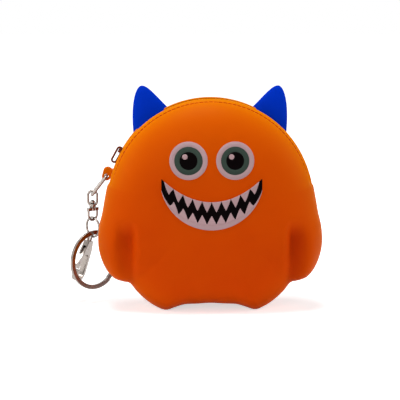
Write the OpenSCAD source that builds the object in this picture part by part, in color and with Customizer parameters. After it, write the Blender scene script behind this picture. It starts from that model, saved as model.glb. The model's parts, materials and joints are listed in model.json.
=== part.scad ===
// Moulded silicone coin purse in the form of a small horned monster, with a zip round its top
// and a key chain at its left side. Millimetres. X points right, Y to the back and Z up.
// The origin is on the ground between the feet, in the plane where the two halves part.

/* [Body] */
// Radius of the round upper body in the parting plane
dome_r = 50.6; // [48:0.2:54]
// Height of that round part's centre above the ground
dome_z = 54.7; // [53:0.1:56]
// Depth of each half from the parting plane to its middle
half_depth = 21; // [17:0.5:26]
// Wall of the moulded halves
wall = 2; // [1.6:0.1:2.4]
// Gap between the two halves where they meet
part_gap = 0.3; // [0.2:0.05:0.6]
// How far the arms reach beyond the round part
arm_reach = 11.5; // [8:0.5:13]
// How far the feet reach below the round part
foot_reach = 9.2; // [7:0.1:10]
// Distance of the crease beside each arm from the middle
crease_x = 39; // [36:0.5:42]
// Share of the depth that the crease takes away
crease_share = 0.3; // [0.05:0.01:0.33]
// Extra depth at the crest of an arm, on the front half
arm_swell = 4; // [1:0.25:5]
// Extra depth at the crest of an arm, on the back half
back_swell = 2; // [0:0.25:2.5]

/* [Ears] */
// Height of an ear's tip above the top of the body
ear_rise = 4.8; // [2:0.2:10]
// Distance of an ear's base from the middle
ear_base_x = 28.5; // [24:0.5:32]
// How far the tip leans outwards from the base
ear_lean = 5; // [0:0.2:8]
// Half width of an ear's base
ear_half_w = 9; // [6:0.25:11]
// Half thickness of an ear's base
ear_half_t = 2.8; // [2:0.1:4]
// Depth that an ear is set into the wall
ear_set = 1.7; // [0.9:0.1:1.8]
// How far an ear's front stands over the slot, past the back lip
ear_over = 0.8; // [0:0.1:0.9]

/* [Zip] */
// Half width of the open slot between the lips
slot_half = 4.75; // [4.4:0.05:6]
// Angle from the top at which the slot ends
slot_end = 83; // [80:0.5:86]
// Depth that a sewn tape is pressed into its lip
tape_bite = 0.13; // [0.05:0.01:0.2]
// Thickness of the zip tape
tape_t = 0.6; // [0.4:0.1:0.8]
// Depth that a tape is sewn under its lip
tape_tuck = 1.4; // [1:0.1:2]
// Gap between the two rows of teeth
row_gap = 1; // [0.8:0.1:1.4]
// Width of one row of teeth, across the tape
tooth_w = 1.8; // [1.2:0.1:2]
// Height of a tooth, through the tape
tooth_h = 1.6; // [1.2:0.1:2]
// Distance from tooth to tooth along the row
tooth_pitch = 2.4; // [2:0.1:3.2]
// Angle from the top at which the closed slider stands
slider_at = -61; // [-64:0.5:-58]
// Angle through which the slider opens the zip
slider_travel = 135; // [120:1:136]
// Length of the slider
slider_len = 9; // [7:0.25:10]
// Thickness of the slider's two plates
plate_t = 0.8; // [0.6:0.05:1]
// Thickness of the post between the plates
post_t = 0.6; // [0.4:0.05:0.7]
// Free play of the teeth inside the slider
slider_play = 0.25; // [0.15:0.05:0.35]
// Radius of the bar that carries the pull
bar_r = 0.45; // [0.35:0.05:0.55]
// Wire radius of the pull
pull_wire_r = 0.5; // [0.4:0.05:0.6]
// Radius of the pull's two ends, to the middle of its wire
pull_end_r = 1.18; // [1.1:0.02:1.4]
// Distance between the middles of the pull's two ends
pull_len = 5.6; // [4:0.2:12]

/* [Face] */
// Distance of each eye from the middle
eye_x = 11.1; // [10:0.1:14]
// Height of the eyes
eye_z = 76.2; // [72:0.2:80]
// Radius of an eye's outer ring
eye_r = 9.1; // [7:0.1:9.6]
// Radius of an iris
iris_r = 6.8; // [5:0.1:6.9]
// Radius of a pupil
pupil_r = 4.3; // [3:0.1:4.6]
// Radius of the glint in a pupil
glint_r = 1.3; // [0.8:0.1:1.8]
// Half width of the mouth
mouth_half = 24.4; // [18:0.2:26]
// Height of the mouth's corners
mouth_corner_z = 67.8; // [62:0.2:68]
// Height of the middle of the mouth's upper edge
mouth_top_z = 56.4; // [52:0.2:60]
// Height of the middle of the mouth's lower edge
mouth_low_z = 42.8; // [38:0.2:46]
// Number of teeth in the upper row of the grin
grin_teeth = 10; // [6:1:14]
// Height that a print stands out of the silicone
print_out = 0.25; // [0.15:0.05:0.4]
// Depth that a print reaches into the silicone
print_in = 0.3; // [0.2:0.05:0.5]

/* [Key tab and upper link] */
// Place of the tab's middle, as a share of the back half's depth
tab_share = 0.5; // [0.45:0.01:0.55]
// Distance of the tab's hole outside the round part
tab_out = 0.8; // [0.5:0.1:4]
// Height of the tab's hole
tab_z = 65; // [62:0.2:68]
// Width of the tab's strap
tab_w = 3.6; // [3:0.1:4]
// Thickness of the tab's strap
tab_t = 1.1; // [0.7:0.05:1.3]
// Wire radius of the upper link
link_wire_r = 0.8; // [0.6:0.05:0.85]
// Free play of the upper link's wire in the tab
tab_play = 0.35; // [0.2:0.05:0.5]
// Length of the upper link between the middles of its two bars
link_len = 11.8; // [10.5:0.1:14]
// Angle at which the upper link leans outwards
link_lean = 37.5; // [32:0.5:45]
// Straight length of the upper link's bars
link_straight = 4; // [3.9:0.1:6]
// Corner radius of the upper link, to the middle of its wire
link_corner = 1.25; // [1:0.05:1.6]

/* [Swivel] */
// Distance of the swivel's axis behind the tab's middle
chain_back = 1.5; // [1.2:0.1:2.5]
// Wire radius of the swivel's eye
eye_wire_r = 0.65; // [0.45:0.05:0.7]
// Radius of the swivel eye's ends, to the middle of its wire
eye_end_r = 2.25; // [2.1:0.05:2.6]
// Distance between the middles of the swivel eye's ends
eye_len = 2.9; // [2.6:0.1:4]
// Radius of the boss under the swivel's eye
boss_r = 1.7; // [1.5:0.1:2]
// Height of that boss
boss_h = 1.9; // [1.6:0.1:2.4]
// Radius of the swivel pin's shank
pin_r = 0.8; // [0.6:0.05:0.9]
// Running clearance round the shank
pin_play = 0.05; // [0.03:0.01:0.1]
// Radius of the pin's head
head_r = 1.3; // [1.1:0.05:1.35]
// Angle at which the yoke and the key ring are turned
turn = 42; // [32:1:44]
// Radius of the yoke's bow, to the middle of its wire
bow_r = 2.7; // [2.5:0.1:3.4]
// Wire radius of the yoke's bow
bow_wire_r = 0.6; // [0.5:0.05:0.7]
// Height of the yoke's bar
yoke_bar_h = 1.4; // [1.2:0.1:2]
// Straight length of the yoke's two legs under that bar
yoke_leg = 2.1; // [1.5:0.1:2.6]

/* [Rings] */
// Radius of the lower link, to the middle of its wire
low_r = 4.9; // [4.5:0.1:5.2]
// Wire radius of the lower link
low_wire_r = 0.6; // [0.45:0.05:0.65]
// Outer radius of the key ring
key_r = 15; // [14:0.25:16]
// Width of the key ring's band
band_w = 2.2; // [1.8:0.1:2.4]
// Thickness of the key ring's two turns together
band_t = 1.9; // [1.4:0.1:1.9]
// Distance between hanging pieces where they rest on each other
hang_gap = 0.08; // [0.05:0.01:0.2]

/* [Clasp] */
// Angle at which the clasp leans outwards
clasp_lean = 14; // [4:0.5:16]
// Angle at which the clasp tilts back from the key ring
clasp_tilt = 11; // [10:0.5:14]
// Angle at which the clasp is turned against the key ring
clasp_turn = 25; // [0:1:26]
// Thickness of the clasp
clasp_t = 3; // [2.8:0.1:3]
// Wire radius of the clasp's eye
clasp_wire_r = 0.6; // [0.5:0.05:0.65]
// Radius of the clasp eye's ends, to the middle of its wire
clasp_eye_r = 1.8; // [1.75:0.05:1.9]
// Outer radius of the clasp's hook
hook_r = 4.9; // [4.4:0.1:5.4]
// Width of the hook's metal
hook_w = 2; // [1.7:0.1:2.2]
// Length from the eye's middle to the hook's middle
hook_drop = 19.4; // [18:0.2:21]
// Thickness of the clasp's lever
lever_t = 1.4; // [1.1:0.05:1.5]
// Free play beside the lever
lever_play = 0.12; // [0.08:0.02:0.2]
// Radius of the lever's pin
lever_pin_r = 0.5; // [0.4:0.05:0.6]
// Radius of the lever's hub
lever_hub_r = 1.1; // [0.9:0.05:1.15]

/* [Hidden] */
$fn = 48;
SILICONE = [0.87, 0.33, 0.02];
BLUE = [0.02, 0.15, 0.72];
NICKEL = [0.75, 0.74, 0.72];
DARK_METAL = [0.33, 0.16, 0.11];
LILAC = [0.78, 0.58, 0.62];
GREEN = [0.18, 0.26, 0.2];
BLACK = [0.04, 0.03, 0.04];

// Smooth step from 0 at a to 1 at b
function ease(a, b, v) = let (s = min(1, max(0, (v - a) / (b - a)))) s * s * (3 - 2 * s);
// A bell of height 1 and half width w
function bell(v, w) = exp(-pow(v / w, 2));

// The outline in the parting plane: [angle from the top, reach from the round part's centre]
arm_r = dome_r + arm_reach;
foot_r = dome_r + foot_reach;
crotch_r = dome_z - 2.7;
outline = [[0, dome_r], [66, dome_r], [84, dome_r + 0.7], [96, dome_r + 0.24 * arm_reach],
    [105, dome_r + 0.56 * arm_reach], [114, dome_r + 0.85 * arm_reach], [123, arm_r],
    [129, arm_r - 0.4], [133, arm_r - 2.4], [136, foot_r - 2], [141, foot_r - 1.2], [149, foot_r],
    [154, foot_r + 0.3], [158, foot_r], [162, foot_r - 3], [166, crotch_r + 2.3],
    [172, crotch_r + 0.9], [180, crotch_r]];
last = len(outline) - 1;
function slope(i) = i == 0 || i == last ? 0 :
    (outline[i + 1][1] - outline[i - 1][1]) / (outline[i + 1][0] - outline[i - 1][0]);
function piece(a, i = 0) = i >= last - 1 || a < outline[i + 1][0] ? i : piece(a, i + 1);
function reach(angle) = let (a = abs(angle), i = piece(a), h = outline[i + 1][0] - outline[i][0],
    s = (a - outline[i][0]) / h)
    outline[i][1] * (1 + 2 * s) * pow(1 - s, 2) + h * slope(i) * s * pow(1 - s, 2)
    + outline[i + 1][1] * (3 - 2 * s) * s * s - h * slope(i + 1) * s * s * (1 - s);

// Depth of the outer face where t is the share of the reach and x, z the place
CREASE_IN = 2;
CREASE_OUT = 14;
CREASE_TOP = [37, 48];
CREASE_FOOT = [6, 40];
ARM_CREST = 48;
ARM_HALF = 5;
ARM_FADE = [36, 46];
function crease(x, z) = crease_share * (1 - ease(CREASE_TOP[0], CREASE_TOP[1], z))
    * ease(CREASE_FOOT[0], CREASE_FOOT[1], z)
    * bell(abs(x) - crease_x, abs(x) < crease_x ? CREASE_IN : CREASE_OUT);
function swell(x, z, crest) = crest * (1 - ease(ARM_FADE[0], ARM_FADE[1], z))
    * bell(abs(x) - ARM_CREST, ARM_HALF);
function depth(t, x, z, inset, crest) = let (s = sqrt(max(0, 1 - pow(t, 4))))
    (half_depth - inset) * s * (1 - crease(x, z)) + swell(x, z, crest) * sqrt(max(0, 1 - pow(t, 8)));

// Place on a half's outer face, or inset from it: a runs from 0 in the middle to 90 at the rim
function shell_point(angle, a, inset, crest) = let (t = sqrt(sin(a)), r = t * (reach(angle) - inset),
    x = r * sin(angle), z = max(0, dome_z + r * cos(angle)))
    [x, -depth(t, x, z, inset, crest), z];
// Place of the front half's outer face at x, z
function face_y(x, z) = let (r = norm([x, z - dome_z]), angle = atan2(abs(x), z - dome_z))
    -depth(min(1, r / reach(angle)), x, z, 0, arm_swell);

SLOT_RAMP = 1.5;
ROWS_OUT = 14;
ROWS_IN = 7;
rim_half = part_gap / 2;
// Columns that lie on the ground under each foot
FOOT_COLUMNS = [157, 158.5, 160];
columns = concat([for (a = [6:6:78]) a], [slot_end - 1.5, slot_end, slot_end + SLOT_RAMP, slot_end + 4],
    [for (a = [92:4:132]) a], [134, 136, 138, 141, 145, 149, 153], FOOT_COLUMNS, [163, 166, 169, 173, 177]);
angles = concat([for (i = [1:len(columns)]) -columns[len(columns) - i]], [0], columns, [180]);
function lip_half(angle) = slot_half
    + (rim_half - slot_half) * ease(slot_end, slot_end + SLOT_RAMP, abs(angle));
function rim_a(angle, inset) = acos(lip_half(angle) / (half_depth - inset));
function sheet_points(inset, rows, crest) = [for (i = [1:rows]) for (angle = angles)
    shell_point(angle, rim_a(angle, inset) * i / rows, inset, crest)];

// A half as it lies at the front: an outer and an inner face, joined at the rim
module half_shell(crest) {
    n = len(angles);
    outer = sheet_points(0, ROWS_OUT, crest);
    inner = sheet_points(wall, ROWS_IN, crest);
    no = len(outer);
    ni = len(inner);
    tips = [[0, -half_depth, dome_z], [0, wall - half_depth, dome_z]];
    band = function (base, rows) [for (i = [0:rows - 2]) for (j = [0:n - 1]) let (k = (j + 1) % n)
        [base + i * n + j, base + i * n + k, base + (i + 1) * n + k, base + (i + 1) * n + j]];
    outer_faces = band(0, ROWS_OUT);
    inner_faces = band(no, ROWS_IN);
    rim = [for (j = [0:n - 1]) let (k = (j + 1) % n)
        [no - n + j, no - n + k, no + ni - n + k, no + ni - n + j]];
    fans = concat([for (j = [0:n - 1]) [no + ni, (j + 1) % n, j]],
        [for (j = [0:n - 1]) [no + ni + 1, no + j, no + (j + 1) % n]]);
    halves = function (quads, flip) [for (q = quads) for (t = [[0, 1, 2], [0, 2, 3]])
        flip ? [q[t[2]], q[t[1]], q[t[0]]] : [q[t[0]], q[t[1]], q[t[2]]]];
    polyhedron(points = concat(outer, inner, tips), faces = concat(halves(outer_faces, true),
        halves(inner_faces, false), halves(rim, true), [for (f = fans) [f[2], f[1], f[0]]]), convexity = 8);
}
module front_shell() { color(SILICONE) half_shell(arm_swell); }
module back_shell() { color(SILICONE) rotate([0, 0, 180]) half_shell(back_swell); }

// An ear: rings that shrink from a base set into the shell's wall to a rounded tip
EAR_SIDES = 20;
EAR_RINGS = 8;
EAR_SQUARE = 1.5;
ear_y = slot_half - ear_over + ear_half_t;
ear_tip_z = dome_z + dome_r + ear_rise;
function wall_z(x, y) = let (r = dome_r * pow(1 - pow(y / half_depth, 2), 0.25) - ear_set)
    dome_z + sqrt(r * r - x * x);
function ear_point(q, a) = let (s = 1 - q * q, bx = ear_base_x + ear_half_w * cos(a),
    by = ear_y + ear_half_t * sin(a), bz = wall_z(bx, by))
    [ear_base_x + ear_lean * (1 - pow(1 - s, EAR_SQUARE)) + q * ear_half_w * cos(a),
        ear_y + q * ear_half_t * sin(a), bz + (ear_tip_z - bz) * s];
module ear() {
    n = EAR_SIDES;
    rings = [for (i = [0:EAR_RINGS - 1]) for (j = [0:n - 1]) ear_point(1 - i / EAR_RINGS, 360 * j / n)];
    ends = [[ear_base_x + ear_lean, ear_y, ear_tip_z], [ear_base_x, ear_y, wall_z(ear_base_x, ear_y)]];
    sides = [for (i = [0:EAR_RINGS - 2]) for (j = [0:n - 1]) let (k = (j + 1) % n, b = i * n)
        for (t = [[b + j, b + n + k, b + k], [b + j, b + n + j, b + n + k]]) t];
    top = [for (j = [0:n - 1]) [(EAR_RINGS - 1) * n + j, len(rings), (EAR_RINGS - 1) * n + (j + 1) % n]];
    bottom = [for (j = [0:n - 1]) [(j + 1) % n, len(rings) + 1, j]];
    polyhedron(points = concat(rings, ends), faces = concat(sides, top, bottom), convexity = 4);
}
module ear_right() { color(BLUE) ear(); }
module ear_left() { color(BLUE) mirror([1, 0, 0]) ear(); }

// Turns a swept profile so that it runs round the Y axis through the dome's centre, from the top
module round_dome(from, to) {
    multmatrix([[0, 1, 0, 0], [0, 0, 1, 0], [1, 0, 0, dome_z], [0, 0, 0, 1]])
        rotate([0, 0, from]) rotate_extrude(angle = to - from, $fn = 180) children();
}
// A rectangle from r0 to r1 and y0 to y1
module box2(r0, r1, y0, y1) { translate([r0, y0]) square([r1 - r0, y1 - y0]); }

tape_r = (dome_r - wall) * pow(1 - pow((slot_half + tape_tuck) / (half_depth - wall), 2), 0.25)
    - tape_t / 2 + tape_bite;
row_half = row_gap / 2;
teeth_out = row_half + tooth_w;
TAPE_END = 1;
module tape(side) {
    y0 = row_half + 0.5 * tooth_w;
    y1 = slot_half + tape_tuck;
    round_dome(-(slot_end - TAPE_END), slot_end - TAPE_END)
        box2(tape_r - tape_t / 2, tape_r + tape_t / 2, side > 0 ? y0 : -y1, side > 0 ? y1 : -y0);
}
module zip_tape_front() { color(SILICONE) tape(-1); }
module zip_tape_back() { color(SILICONE) tape(1); }

// Half the angle that the slider covers, and the stretch of teeth between its two parking places
slider_half = 0.5 * slider_len / tape_r * 180 / PI;
PARK_GAP = 0.8;
teeth_from = slider_at + slider_half + PARK_GAP;
teeth_to = slider_at + slider_travel - slider_half - PARK_GAP;
pitch_angle = tooth_pitch / tape_r * 180 / PI;
TOOTH_SHARE = 0.6;
tooth_len = TOOTH_SHARE * tooth_pitch;
module teeth(side) {
    count = floor((teeth_to - teeth_from) / pitch_angle);
    for (i = [0:count - 1])
        translate([0, 0, dome_z]) rotate([0, teeth_from + (i + 0.5) * pitch_angle, 0])
            translate([-tooth_len / 2, side > 0 ? row_half : -teeth_out, tape_r - tooth_h / 2])
                cube([tooth_len, tooth_w, tooth_h]);
}
module zip_teeth_front() { color(SILICONE) teeth(-1); }
module zip_teeth_back() { color(SILICONE) teeth(1); }

// A metal stop clamped on the back tape, just past a parking place of the slider
STOP_ANGLE = 1.6;
STOP_GAP = 0.4;
STOP_PROUD = 0.5;
module stop_at(from) {
    reach_r = tooth_h / 2 + STOP_PROUD;
    round_dome(from, from + STOP_ANGLE)
        box2(tape_r - reach_r, tape_r + reach_r, row_half, teeth_out);
}
module zip_stop_closed() { color(DARK_METAL) stop_at(slider_at - slider_half - STOP_GAP - STOP_ANGLE); }
module zip_stop_open() { color(DARK_METAL) stop_at(slider_at + slider_travel + slider_half + STOP_GAP); }

// The slider: two curved plates, their side flanges, the post in its nose and the bar for the pull
channel_half = tooth_h / 2 + slider_play;
plate_out = tape_r + channel_half + plate_t;
flange_in = teeth_out + slider_play;
FLANGE_T = 0.8;
FLANGE_SLIT = 0.3;
POST_ANGLE = 2.4;
FUSE = 0.2;
PULL_GAP = 0.07;
bar_at = plate_out + PULL_GAP + pull_end_r + pull_wire_r;
CHEEK_IN = pull_wire_r + 0.25;
CHEEK_T = 0.8;
CHEEK_ANGLE = 1.5;
module zip_slider() {
    outer_y = flange_in + FLANGE_T;
    slit = tape_t / 2 + FLANGE_SLIT;
    from = slider_at - slider_half;
    to = slider_at + slider_half;
    color(DARK_METAL) {
        round_dome(from, to) {
            box2(tape_r + channel_half, plate_out, -outer_y, outer_y);
            box2(tape_r - channel_half - plate_t, tape_r - channel_half, -outer_y, outer_y);
            for (side = [-outer_y, flange_in]) {
                box2(tape_r + slit, tape_r + channel_half + FUSE, side, side + FLANGE_T);
                box2(tape_r - channel_half - FUSE, tape_r - slit, side, side + FLANGE_T);
            }
        }
        round_dome(from, from + POST_ANGLE)
            box2(tape_r - channel_half - FUSE, tape_r + channel_half + FUSE, -post_t / 2, post_t / 2);
        for (side = [CHEEK_IN, -CHEEK_IN - CHEEK_T])
            round_dome(slider_at - CHEEK_ANGLE, slider_at + CHEEK_ANGLE)
                box2(plate_out - FUSE, bar_at + bar_r, side, side + CHEEK_T);
        translate([0, 0, dome_z]) rotate([0, slider_at, 0]) translate([0, CHEEK_IN + CHEEK_T, bar_at])
            rotate([90, 0, 0]) cylinder(r = bar_r, h = 2 * (CHEEK_IN + CHEEK_T));
    }
}

// A wire loop in the XZ plane: half rings of radius r, their middles apart by len, hanging from the first
module loop_xz(r, wire, len) {
    rotate([90, 0, 0]) {
        rotate_extrude(angle = 180) translate([r, 0]) circle(r = wire);
        translate([0, -len, 0]) rotate([0, 0, 180]) rotate_extrude(angle = 180)
            translate([r, 0]) circle(r = wire);
    }
    for (x = [-r, r]) translate([x, 0, -len]) cylinder(r = wire, h = len);
}
module zip_pull() {
    color(DARK_METAL) translate([0, 0, dome_z]) rotate([0, slider_at, 0]) translate([0, 0, bar_at])
        rotate([0, 90, 0]) loop_xz(pull_end_r, pull_wire_r, pull_len);
}

// A thin print that follows the shell: a grid of rows of [x, z], the first row at the lower edge
module print_grid(grid, out = print_out, into = print_in) {
    rows = len(grid);
    n = len(grid[0]);
    front = [for (row = grid) for (p = row) [p[0], face_y(p[0], p[1]) - out, p[1]]];
    back = [for (row = grid) for (p = row) [p[0], face_y(p[0], p[1]) + into, p[1]]];
    m = rows * n;
    cells = [for (i = [0:rows - 2]) for (j = [0:n - 2]) let (b = i * n + j)
        for (t = [[b, b + n + 1, b + 1], [b, b + n, b + n + 1]]) t];
    edge = concat([for (j = [0:n - 1]) j], [for (i = [1:rows - 1]) i * n + n - 1],
        [for (j = [1:n - 1]) m - 1 - j], [for (i = [1:rows - 2]) (rows - 1 - i) * n]);
    walls = [for (i = [0:len(edge) - 1]) let (a = edge[i], b = edge[(i + 1) % len(edge)])
        for (t = [[a, b, b + m], [a, b + m, a + m]]) t];
    polyhedron(points = concat(front, back), faces = concat(cells,
        [for (c = cells) [c[0] + m, c[2] + m, c[1] + m]], walls), convexity = 6);
}
EYE_SIDES = 36;
// A flat ring or disc printed round x, z: rings of [x, z] from radius r0 out to r1
module print_ring(x, z, r0, r1, out = print_out) {
    n = EYE_SIDES;
    at = function (r, a, y) let (px = x + r * sin(a), pz = z + r * cos(a)) [px, face_y(px, pz) + y, pz];
    turn_of = function (j) 360 * j / n;
    pts = [for (q = [[r1, -out], [r0, -out], [r0, print_in], [r1, print_in]])
        for (j = [0:n - 1]) at(q[0], turn_of(j), q[1])];
    faces = [for (i = [0:3]) for (j = [0:n - 1]) let (a = i * n, b = ((i + 1) % 4) * n, k = (j + 1) % n)
        for (t = [[a + j, a + k, b + k], [a + j, b + k, b + j]]) t];
    polyhedron(points = pts, faces = [for (f = faces) [f[2], f[1], f[0]]], convexity = 6);
}
module print_disc(x, z, r, out = print_out) {
    n = EYE_SIDES;
    rim = [for (y = [-out, print_in]) for (j = [0:n - 1]) let (a = 360 * j / n,
        px = x + r * sin(a), pz = z + r * cos(a)) [px, face_y(px, pz) + y, pz]];
    mid = [for (y = [-out, print_in]) [x, face_y(x, z) + y, z]];
    faces = [for (j = [0:n - 1]) let (k = (j + 1) % n)
        for (t = [[2 * n, k, j], [2 * n + 1, n + j, n + k], [j, k, n + k], [j, n + k, n + j]]) t];
    polyhedron(points = concat(rim, mid), faces = [for (f = faces) [f[2], f[1], f[0]]], convexity = 4);
}
PRINT_GAP = 0.05;
module both_eyes() {
    children();
    mirror([1, 0, 0]) children();
}
module eye_rings() { color(LILAC) both_eyes() print_ring(eye_x, eye_z, iris_r + PRINT_GAP, eye_r); }
module irises() { color(GREEN) both_eyes() print_ring(eye_x, eye_z, pupil_r + PRINT_GAP, iris_r); }
module pupils() { color(BLACK) both_eyes() print_disc(eye_x, eye_z, pupil_r); }
GLINT_PROUD = 0.15;
glint_x = 0.4 * pupil_r;
glint_z = 0.45 * pupil_r;
module glints() {
    color(LILAC) for (side = [-1, 1])
        print_disc(side * eye_x - glint_x, eye_z + glint_z, glint_r, print_out + GLINT_PROUD);
}

// The grin: upper and lower edges as curves of u, which runs from -1 at one corner to 1 at the other
function grin_top(u) = mouth_top_z + (mouth_corner_z - mouth_top_z) * u * u;
function grin_low(u) = mouth_low_z + (mouth_corner_z - mouth_low_z) * (1 - sqrt(1 - 0.97 * u * u));
LIP_BAND = 3;
function lip_top(u) = min(grin_top(u), grin_low(u) + LIP_BAND * sqrt(max(0, 1 - u * u)));
GRIN_STEPS = 32;
GRIN_ROWS = 3;
GRIN_END = 0.985;
function grin_u(j) = GRIN_END * sin(90 * (2 * j / GRIN_STEPS - 1));
module mouth() {
    color(BLACK) print_grid([for (i = [0:GRIN_ROWS]) [for (j = [0:GRIN_STEPS]) let (u = grin_u(j),
        f = i / GRIN_ROWS) [mouth_half * u, grin_low(u) * (1 - f) + grin_top(u) * f]]]);
}
LIP_PROUD = 0.1;
module lip_print() {
    color(LILAC) print_grid([for (i = [0:1]) [for (j = [1:GRIN_STEPS - 1]) let (u = grin_u(j))
        [mouth_half * u, i == 0 ? grin_low(u) : lip_top(u)]]], print_out + LIP_PROUD);
}
TOOTH_PROUD = 0.15;
TOOTH_LAP = 0.4;
TOOTH_FILL = 0.98;
// One pointed tooth of the grin: its base from u0 to u1 on an edge, its tip at height tip
module fang(u0, u1, z0, z1, tip) {
    um = (u0 + u1) / 2;
    flat3 = [[mouth_half * u0, z0], [mouth_half * u1, z1], [mouth_half * um, tip]];
    pts = [for (y = [-print_out - TOOTH_PROUD, print_in / 2]) for (p = flat3)
        [p[0], face_y(p[0], p[1]) + y, p[1]]];
    up = tip > (z0 + z1) / 2;
    f = [[0, 1, 2], [5, 4, 3], [0, 3, 4], [0, 4, 1], [1, 4, 5], [1, 5, 2], [2, 5, 3], [2, 3, 0]];
    polyhedron(points = pts, faces = up ? [for (t = f) [t[2], t[1], t[0]]] : f);
}
GRIN_SPAN = 0.93;
UPPER_REACH = 0.46;
LOWER_REACH = 0.38;
module grin_teeth_print() {
    step = 2 * GRIN_SPAN / grin_teeth;
    color(LILAC) {
        for (i = [0:grin_teeth - 1]) {
            u0 = -GRIN_SPAN + i * step;
            u1 = u0 + TOOTH_FILL * step;
            um = (u0 + u1) / 2;
            fang(u0, u1, grin_top(u0), grin_top(u1),
                grin_top(um) - UPPER_REACH * (grin_top(um) - lip_top(um)));
        }
        for (i = [0:grin_teeth - 2]) {
            u0 = -GRIN_SPAN + (i + 0.5) * step;
            u1 = u0 + TOOTH_FILL * step;
            um = (u0 + u1) / 2;
            fang(u0, u1, lip_top(u0) - TOOTH_LAP, lip_top(u1) - TOOTH_LAP,
                lip_top(um) + LOWER_REACH * (grin_top(um) - lip_top(um)));
        }
    }
}

// The tab: a strap that loops round the upper link's bar and runs down into the back half's wall
tab_x = dome_r + tab_out;
tab_y = tab_share * half_depth;
hole_r = link_wire_r + tab_play;
strap_r = hole_r + tab_t;
TAB_RISE = 2.2;
TAB_LEAN = 0.6;
TAB_SET = 1.1;
tab_root_r = dome_r * pow(1 - pow((tab_y - tab_w / 2) / half_depth, 2), 0.25) - TAB_SET;
// A disc of the strap's width, round the Y axis
module strap_disc(r, w) { translate([0, w / 2, 0]) rotate([90, 0, 0]) cylinder(r = r, h = w); }
module key_tab() {
    tilt = atan2(TAB_LEAN, TAB_RISE);
    span = norm([TAB_LEAN, TAB_RISE]);
    high = [-tab_x + TAB_LEAN, tab_z + TAB_RISE];
    out_angle = atan2(high[0], high[1] - dome_z);
    stem = norm([high[0], high[1] - dome_z]) - tab_root_r;
    color(SILICONE) difference() {
        union() {
            translate([-tab_x, tab_y, tab_z]) rotate([0, tilt, 0]) {
                strap_disc(strap_r, tab_w);
                translate([-strap_r, -tab_w / 2, 0]) cube([2 * strap_r, tab_w, span]);
                translate([0, 0, span]) strap_disc(strap_r, tab_w);
            }
            translate([high[0], tab_y, high[1]]) rotate([0, out_angle, 0])
                translate([-0.8 * strap_r, -tab_w / 2, -stem]) cube([1.6 * strap_r, tab_w, stem]);
        }
        translate([-tab_x, tab_y, tab_z]) strap_disc(hole_r, 2 * tab_w);
    }
}

// The upper link: an oblong wire ring whose end bars lie along Y
bar_half = link_straight / 2;
side_y = bar_half + link_corner;
module link_end() {
    translate([0, bar_half, 0]) rotate([90, 0, 0]) cylinder(r = link_wire_r, h = link_straight);
    for (side = [0, 180]) rotate([0, 0, side]) translate([0, bar_half, -link_corner])
        rotate([90, 0, 90]) rotate_extrude(angle = 90) translate([link_corner, 0]) circle(r = link_wire_r);
}
module upper_link() {
    color(NICKEL) translate([-tab_x, tab_y, tab_z]) rotate([0, link_lean, 0]) {
        link_end();
        translate([0, 0, -link_len]) rotate([180, 0, 0]) link_end();
        for (y = [-side_y, side_y]) translate([0, y, link_corner - link_len])
            cylinder(r = link_wire_r, h = link_len - 2 * link_corner);
    }
}

// Where the swivel hangs: its axis, and the heights of its pieces down the chain
chain_x = -tab_x - link_len * sin(link_lean);
chain_y = tab_y + chain_back;
hang_z = tab_z - link_len * cos(link_lean);
eye_top_z = hang_z + link_wire_r + hang_gap - (eye_end_r - eye_wire_r);
eye_low_z = eye_top_z - eye_len;
boss_z = eye_low_z - eye_end_r - eye_wire_r - 0.3;
YOKE_GAP = 0.2;
yoke_top = boss_z - YOKE_GAP;
bow_z = yoke_top - yoke_bar_h - yoke_leg;
bow_low_z = bow_z - bow_r;
module at_chain(z, turned = 0) { translate([chain_x, chain_y, z]) rotate([0, 0, turned]) children(); }
module swivel_eye() {
    color(NICKEL) at_chain(0) difference() {
        union() {
            translate([0, 0, eye_top_z]) loop_xz(eye_end_r, eye_wire_r, eye_len);
            translate([0, 0, boss_z]) cylinder(r = boss_r, h = boss_h);
        }
        translate([0, 0, boss_z - 1]) cylinder(r = pin_r + pin_play, h = boss_h + 2);
    }
}
HEAD_H = 1.9;
module swivel_pin() {
    shank_low = yoke_top - yoke_bar_h + 0.2;
    head_low = boss_z + boss_h + pin_play;
    steps = 6;
    color(NICKEL) at_chain(0) rotate_extrude()
        polygon(concat([[0, shank_low], [pin_r, shank_low], [pin_r, head_low]],
            [for (i = [0:steps]) [head_r * cos(90 * i / steps), head_low + 0.5
                + (HEAD_H - 0.5) * sin(90 * i / steps)]], [[0, head_low + HEAD_H]]));
}
PRESS = 0.02;
YOKE_END_R = 1;
YOKE_MID_R = 1.5;
module swivel_yoke() {
    bar_r2 = YOKE_END_R;
    color(NICKEL) at_chain(0, turn) difference() {
        union() {
            translate([0, 0, bow_z]) rotate([90, 180, 0]) rotate_extrude(angle = 180)
                translate([bow_r, 0]) circle(r = bow_wire_r);
            for (x = [-bow_r, bow_r]) translate([x, 0, bow_z])
                cylinder(r = bow_wire_r, h = yoke_top - bow_z - yoke_bar_h / 2);
            translate([0, 0, yoke_top - yoke_bar_h]) {
                for (x = [-bow_r, bow_r]) translate([x, 0, 0]) cylinder(r = bar_r2, h = yoke_bar_h);
                translate([-bow_r, -bar_r2, 0]) cube([2 * bow_r, 2 * bar_r2, yoke_bar_h]);
                cylinder(r = YOKE_MID_R, h = yoke_bar_h);
            }
        }
        translate([0, 0, yoke_top - yoke_bar_h - 1]) cylinder(r = pin_r - PRESS, h = yoke_bar_h + 2);
    }
}

// The lower link hangs in the yoke's bow, square to it
low_z = bow_low_z + bow_wire_r + low_wire_r + hang_gap - low_r;
module lower_link() {
    color(NICKEL) at_chain(low_z, turn + 90) rotate([90, 0, 0])
        rotate_extrude() translate([low_r, 0]) circle(r = low_wire_r);
}
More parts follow.
